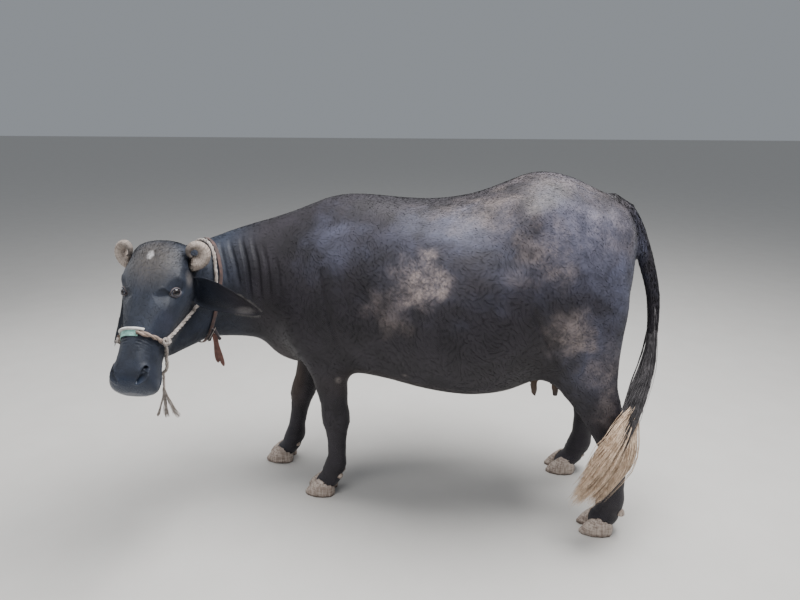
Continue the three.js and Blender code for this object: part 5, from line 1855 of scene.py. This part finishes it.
MASKS = "Dust Brown Forehead Star Bare Nicks Face Shade Lid Bloom Pink Pale".split()
markings, _, given = new_group("Markings", {}, {
    **dict.fromkeys(MASKS, "value"), "Drawn": "vector", "On head": "vector"})
tree = markings
place_now = add(tree, "NewGeometry").outputs["Position"]
drawn_at = vector("SCALE", vector("SUBTRACT", place_now, tuple(MOVE)), 1 / MM)
from_poll = vector("SUBTRACT", drawn_at, POLL)
head_parts = [vector("DOT_PRODUCT", from_poll, tuple(axis)) for axis in HEAD_AXES]
head_at, head_even = joined_up(*head_parts), evened(*head_parts)
cloud = mottled(drawn_at, 0.016, 5, 0.62)
speckle = mottled(drawn_at, 0.11, 6, 0.72)
swirl = add(tree, "TexNoise", {"Vector": drawn_at, "Scale": 0.011, "Detail": 3.0}).outputs["Color"]
swirl = vector("SCALE", vector("SUBTRACT", swirl, (0.5, 0.5, 0.5)), WARP)
warped = vector("ADD", drawn_at, swirl)
body_even = evened(*parts_of(warped))
broken = weighed(cloud, 0.55, speckle, 0.40, 0.62)
# painted sheen: the bluish gleam of light on back, hips, flank and cheek, as colour
painted_sheen = maths("MAXIMUM", spots_mask(body_even, PAINTED_SHEEN_PATCHES, (1.25, 0.0)),
              spots_mask(head_even, [CHEEK_PAINTED_SHEEN]))
star_edge = times_plus(speckle, 14, -7)
star_at = vector("ADD", head_at, joined_up(star_edge, star_edge))
masks = {
    "Dust": (spots_mask(warped, DUST_PATCHES), times_plus(broken, 0.85, 0.15)),
    # the painted sheen, broken up a little by noise
    "Bloom": (painted_sheen, times_plus(broken, 0.45, 0.55)),
    "Pale": (spots_mask(drawn_at, PALE_PATCHES, (1.2, 0.2)),
             ranged(speckle, 0.25, 0.6, 0.4, 1)),
    "Forehead": (spots_mask(head_even, [FOREHEAD_PATCH]), ranged(speckle, 0.25, 0.6, 0.45, 1)),
    "Nicks": (spots_mask(drawn_at, PALE_NICKS, (1.3, 0.0)), ranged(speckle, 0.35, 0.55)),
    "Brown": (spots_mask(drawn_at, BROWN_PATCHES), 1),
    "Pink": (spots_mask(drawn_at, PINK_PATCHES, (1.1, 0.5)), 1),
    "Star": (spots_mask(star_at, [STAR], (1.25, 0.45)), 1),
    "Bare": (spots_mask(head_even, BARE_PATCHES, (1.15, 0.75)), 1),
    "Face": (ranged(parts_of(drawn_at)[0], *FACE_FROM_TO), 1),
    "Shade": (spots_mask(head_even, [EYE_SHADE]), 1),
    "Lid": (spots_mask(head_even, [(EYE_IN_HEAD, (LID_RIM,) * 3, 1)], (1.02, 0.98)), 1)}
for name, (patches, ragged) in masks.items():
    fill(given[name], times(patches, ragged))
fill(given["Drawn"], drawn_at)
fill(given["On head"], head_even)
print("markings group:", len(tree.nodes), "nodes")

# %% [markdown]
# ## Colours of the hide
#
# With the masks in hand the hide is a stack: slate, a cooler slate on the face, then brown,
# a painted bluish sheen, painted shade by the eyes and dust, with the white star near the top.
# The group takes the main colours as named inputs, because the coat lies over the skin a shade
# lighter, in the same pattern.

# %% Hide colours
# The bluish sheen colour here is painted sheen, a gleam of light laid into the hide
hide_colours, given_in, given_out = new_group("Hide colours", {
    "Slate": ("colour", (0.020, 0.017, 0.022)), "Cool slate": ("colour", (0.017, 0.022, 0.036)),
    "Brown": ("colour", (0.060, 0.040, 0.032)), "Dust": ("colour", (0.34, 0.275, 0.255)),
    "Forehead": ("colour", (0.080, 0.072, 0.068)), "Bloom": ("colour", (0.140, 0.148, 0.225)),
    "Dusting": ("value", 1.0)},
    {"Color": "colour", "Bare": "value", "Drawn": "vector", "On head": "vector"})
tree = hide_colours
mask = use(tree, markings)
colour = blended(mask["Face"], given_in["Slate"], given_in["Cool slate"])
tone = ranged(mottled(mask["Drawn"], 0.011, 4, 0.6), 0.3, 0.7, 0.72, 1.35)
fleck = ranged(mottled(mask["Drawn"], 0.25, 3, 0.6), 0.3, 0.7, 0.8, 1.25)
tone = times(tone, fleck)
grey = add(tree, "CombineColor", {0: tone, 1: tone, 2: tone}).outputs[0]
colour = blended(1.0, colour, grey, "MULTIPLY")
dusted = times(mask["Dust"], given_in["Dusting"], clamp=True)
# Among these layers, the bluish sheen is painted sheen and the eye shade is painted shade
colour = layered(
    colour, (mask["Brown"], given_in["Brown"]), (mask["Pink"], (0.105, 0.070, 0.052)),
    (times(mask["Bloom"], 0.95), given_in["Bloom"]), (mask["Pale"], (0.17, 0.155, 0.15)),
    (times(mask["Shade"], 0.6), (0.012, 0.013, 0.016)), (mask["Forehead"], given_in["Forehead"]),
    (dusted, given_in["Dust"]), (mask["Nicks"], (0.30, 0.26, 0.24)), (mask["Star"], (0.52, 0.50, 0.50)),
    (mask["Bare"], (0.027, 0.037, 0.062)), (mask["Lid"], (0.14, 0.115, 0.115)))
for label in ("Bare", "Drawn", "On head"):
    fill(given_out[label], mask[label])
fill(given_out["Color"], colour)
print("hide colours group:", len(tree.nodes), "nodes")

# %% [markdown]
# ## The skin itself
#
# The hide is thick leather with pores, fine creases and a nap of very short hair lying
# from head to tail and down the legs. None of that is a millimetre high, so it is bump:
# long noise along the lie of the hair, cells for the creases, and a wet pebbled pad on
# the bare muzzle, where the surface is also far smoother.

# %% Skin material
HIDE_GLOSS = {"Sheen_Weight": 0.05, "Sheen_Roughness": 0.45, "Specular_IOR_Level": 0.36}
skin_material, tree, shader = new_material("hide_skin", **HIDE_GLOSS)
hide = use(tree, hide_colours)
where = hide["Drawn"]
on_leg = ranged(parts_of(where)[2], 620, 480)
nap_body = mottled(where, 1.0, 3, 0.6, (0.16, 0.8, 0.8))
nap_leg = mottled(where, 1.0, 3, 0.6, (0.8, 0.8, 0.16))
nap = add(tree, "Mix", {0: on_leg, 2: nap_body, 3: nap_leg}, data_type="FLOAT").outputs[0]
cells, pebbles = (
    add(tree, "TexVoronoi", {"Vector": where, "Scale": scale}, feature=feature).outputs["Distance"]
    for scale, feature in ((0.22, "DISTANCE_TO_EDGE"), (0.30, "SMOOTH_F1")))
creases = ranged(cells, 0.0, 0.12)
dry = maths("SUBTRACT", 1.0, hide["Bare"])
height = times(times_plus(creases, 0.22, nap), dry)
height = times_plus(times(pebbles, hide["Bare"]), -1.1, height)
bumped(shader, height, 0.35, 0.0008)
fill(shader["Base Color"], hide["Color"])
rough = ranged(nap, 0.3, 0.7, 0.50, 0.64)
fill(shader["Roughness"], times_plus(hide["Bare"], -0.30, rough))
dress(skin_material, skin)
print("skin material:", len(tree.nodes), "nodes")

# %% [markdown]
# ## Hair
#
# One kind of material serves all long hair, on the tail, the ears and round the horns: a
# dark and a light colour, in streaks that change from strand to strand. The streaks are
# noise stretched along the body's height, as the hair hangs.

# %% Hair materials


def hair_material(name, dark, light, roughness):
    material, tree, shader = new_material(name, Roughness=roughness, Specular_IOR_Level=0.35)
    where = use(tree, markings)["Drawn"]
    streak = mottled(where, 1.0, 3, 0.7, (0.22, 0.22, 0.03))
    cloud = mottled(where, 0.03, 2)
    fill(shader["Base Color"], blended(weighed(cloud, 0.4, streak), dark, light))
    return material


dress(hair_material("black_hair", (0.022, 0.020, 0.022), (0.095, 0.088, 0.092), 0.5), black_hair, tail_core)
dress(hair_material("pale_hair", (0.42, 0.29, 0.195), (0.84, 0.66, 0.50), 0.6), pale_hair)
dress(hair_material("bristle", (0.20, 0.18, 0.16), (0.50, 0.47, 0.44), 0.6), bristles)
dress(hair_material("fringe", (0.05, 0.045, 0.045), (0.16, 0.15, 0.145), 0.6), fringe)
print("hair materials on the tail, the ears and the horns")

# %% [markdown]
# ## The coat's colour
#
# The coat wears the same markings as the skin under it, nearly everywhere a shade lighter,
# because hair scatters light that the dark hide would swallow. Dust clings to hair more
# than to skin.

# %% Coat material
coat_material, tree, shader = new_material("coat_hair", Roughness=0.56, **HIDE_GLOSS)
# The bluish sheen colour given to the coat is painted sheen, as on the skin
coat_look = use(tree, hide_colours, {
    "Slate": (0.022, 0.0185, 0.0235), "Cool slate": (0.018, 0.023, 0.037), "Brown": (0.040, 0.028, 0.024),
    "Dust": (0.40, 0.325, 0.30), "Forehead": (0.095, 0.084, 0.076), "Bloom": (0.155, 0.162, 0.240),
    "Dusting": 1.05})
fill(shader["Base Color"], coat_look["Color"])
dress(coat_material, *coats)
print("coat material on", len(coats), "pieces")

# %% [markdown]
# ## Eyes, horns and claws
#
# The eye's own map gives the angle from the middle of the pupil: a level, oblong pupil in
# a brown-black iris, a bluish rim, and a little of the white at the corners. Horn and
# claw grow in layers, so their colour streaks along the growth and bands across it.

# %% Materials for eyes, horns and claws
IRIS_ANGLE, PUPIL = 0.80, (0.42, 0.22, 1)  # radians from the middle of the eye
eye_material, tree, shader = new_material(
    "eye_wet", Roughness=0.06, IOR=1.38, Coat_Weight=0.6, Coat_Roughness=0.02)
eye_map = add(tree, "UVMap", uv_map="EyeMap").outputs[0]
angle = vector("SCALE", vector("SUBTRACT", eye_map, (0.5, 0.5, 0)), EYE_MAP_SCALE)
turned = vector("LENGTH", angle)
pupil = ranged(vector("LENGTH", vector("DIVIDE", angle, PUPIL)), 1.05, 0.9)
fibres = mottled(angle, 9.0, 3)
iris = blended(fibres, (0.010, 0.008, 0.009), (0.034, 0.024, 0.022))
rim = ranged(turned, IRIS_ANGLE - 0.16, IRIS_ANGLE - 0.02)
white = ranged(turned, IRIS_ANGLE, IRIS_ANGLE + 0.07)
fill(shader["Base Color"], layered(iris, (rim, (0.085, 0.100, 0.135)), (white, (0.15, 0.13, 0.13)),
                                   (pupil, (0.004, 0.004, 0.005))))
dress(eye_material, eyes)

horn_material, tree, shader = new_material("horn_rings", Roughness=0.6, Specular_IOR_Level=0.35)
horn_map = add(tree, "UVMap", uv_map="HornMap").outputs[0]
streaks = mottled(horn_map, 1.0, 4, 0.7, (22, 3, 1))
bands = mottled(horn_map, 1.0, 3, 0.6, (1.2, 46, 1))
horn_colour = blended(weighed(streaks, 0.5, bands), (0.19, 0.15, 0.125), (0.50, 0.425, 0.37))
tip_dark = ranged(parts_of(horn_map)[1], 0.62, 0.93, 0, 0.85)
fill(shader["Base Color"], blended(tip_dark, horn_colour, (0.045, 0.038, 0.035)))
bumped(shader, maths("ADD", streaks, bands), 0.5, 0.001)
dress(horn_material, horns)

claw_material, tree, shader = new_material("claw_horn", Roughness=0.55, Specular_IOR_Level=0.35)
where = use(tree, markings)["Drawn"]
streaks = mottled(where, 1.0, 4, 0.7, (0.16, 0.16, 0.014))
bands = mottled(where, 1.0, 2, 0.6, (0.02, 0.02, 0.22))
claw_colour = blended(weighed(streaks, 0.6, bands), (0.24, 0.18, 0.15), (0.58, 0.49, 0.42))
height = times_plus(mottled(where, 0.06, 4), 40, parts_of(where)[2])
mud = ranged(height, 36, 18)
fill(shader["Base Color"], blended(mud, claw_colour, (0.13, 0.095, 0.075)))
bumped(shader, streaks, 0.4, 0.0008)
dress(claw_material, claws)
print("eyes, horns and claws have their materials")

# %% [markdown]
# ## Rope, cloth and strap
#
# Worn rope and cloth are rough, faded and dirty in the hollows. One group gives the
# pattern that they share, fine fibres over blotches of dirt, and each material adds its
# own colours.

# %% Materials for the halter
worn, given_in, given_out = new_group(
    "Worn cloth", {"Clean": ("colour", (0.5, 0.46, 0.42)), "Dirty": ("colour", (0.2, 0.17, 0.14))},
    {"Color": "colour", "Height": "value"})
tree = worn
where = use(tree, markings)["Drawn"]
fibre = mottled(where, 0.8, 4, 0.75)
dirt = mottled(where, 0.05, 4, 0.65)
dirty = weighed(fibre, 0.35, dirt, 0.40, 0.60)
fill(given_out["Color"], blended(dirty, given_in["Clean"], given_in["Dirty"]))
fill(given_out["Height"], fibre)


def cloth_material(name, clean, dirty, roughness=0.9, strength=0.6):
    material, tree, shader = new_material(name, Roughness=roughness, Sheen_Weight=0.2)
    look = use(tree, worn, {"Clean": clean, "Dirty": dirty})
    fill(shader["Base Color"], look["Color"])
    bumped(shader, look["Height"], strength, 0.0012)
    return material


cloth_looks = {
    teal_strip: cloth_material("cloth_teal", (0.30, 0.60, 0.52), (0.20, 0.38, 0.33)),
    white_edge: cloth_material("cloth_white", (0.78, 0.77, 0.74), (0.50, 0.46, 0.42)),
    brown_cloth: cloth_material("cloth_brown", (0.40, 0.31, 0.26), (0.16, 0.105, 0.08)),
    # The collar strap is dark partly from grime and partly as painted shade beside the rope
    collar: cloth_material("strap_grimy", (0.095, 0.045, 0.036), (0.030, 0.019, 0.018), 0.7, 0.3),
    ends: cloth_material("strap_red_brown", (0.20, 0.085, 0.065), (0.11, 0.045, 0.035), 0.75, 0.4),
    tie: cloth_material("tie_dark", (0.045, 0.030, 0.034), (0.016, 0.014, 0.016), 0.8, 0.3)}
for piece, material in cloth_looks.items():
    dress(material, piece)
dress(cloth_material("rope_cotton", (0.46, 0.41, 0.375), (0.22, 0.185, 0.16)),
      headstall, jaw_rope, tassel, yarns, thread, *knot_pieces)
print("halter materials:", len(cloth_looks) + 1)

# %% [markdown]
# ## Studio
#
# The animal stands on a plain pale floor under soft light. The sun in the photograph is
# high, so the strongest lamp hangs over her loin. A weaker one opens up the near side, a
# third reaches the face, and a low even sky fills the rest.

# %% Floor and lights
FAR = 30
corners = [(-FAR, -FAR, 0), (FAR, -FAR, 0), (FAR, FAR, 0), (-FAR, FAR, 0)]
floor = into_scene(mesh_object("floor", corners, [(0, 1, 2, 3)]))
floor_material, tree, shader = new_material("floor", Roughness=0.9)
grain = mottled(add(tree, "NewGeometry").outputs["Position"], 6.0, 4)
fill(shader["Base Color"], blended(grain, (0.60, 0.58, 0.55), (0.66, 0.64, 0.61)))
dress(floor_material, floor)

LAMPS = [  # name, place in metres, size, watts
    ("key", (0.9, 0.1, 3.9), 2.4, 290), ("near", (-2.3, -3.2, 3.5), 3.0, 68),
    ("front", (-3.2, 0.4, 2.0), 2.0, 26)]
LAMPS_LOOK_AT = (0, 0, 0.7)
SKY, SKY_STRENGTH = (0.86, 0.92, 1.0, 1), 0.32
for name, at, size, watts in LAMPS:
    data = bpy.data.lights.new(name, "AREA")
    data.size, data.energy = size, watts
    lamp = into_scene(bpy.data.objects.new(name, data))
    lamp.location = at
    lamp.rotation_euler = (Vector(LAMPS_LOOK_AT) - Vector(at)).to_track_quat("-Z", "Y").to_euler()
world = bpy.data.worlds.new("sky")
world.use_nodes = True
background = world.node_tree.nodes["Background"].inputs
background[0].default_value, background[1].default_value = SKY, SKY_STRENGTH
bpy.context.scene.world = world
print("lamps:", len(LAMPS))
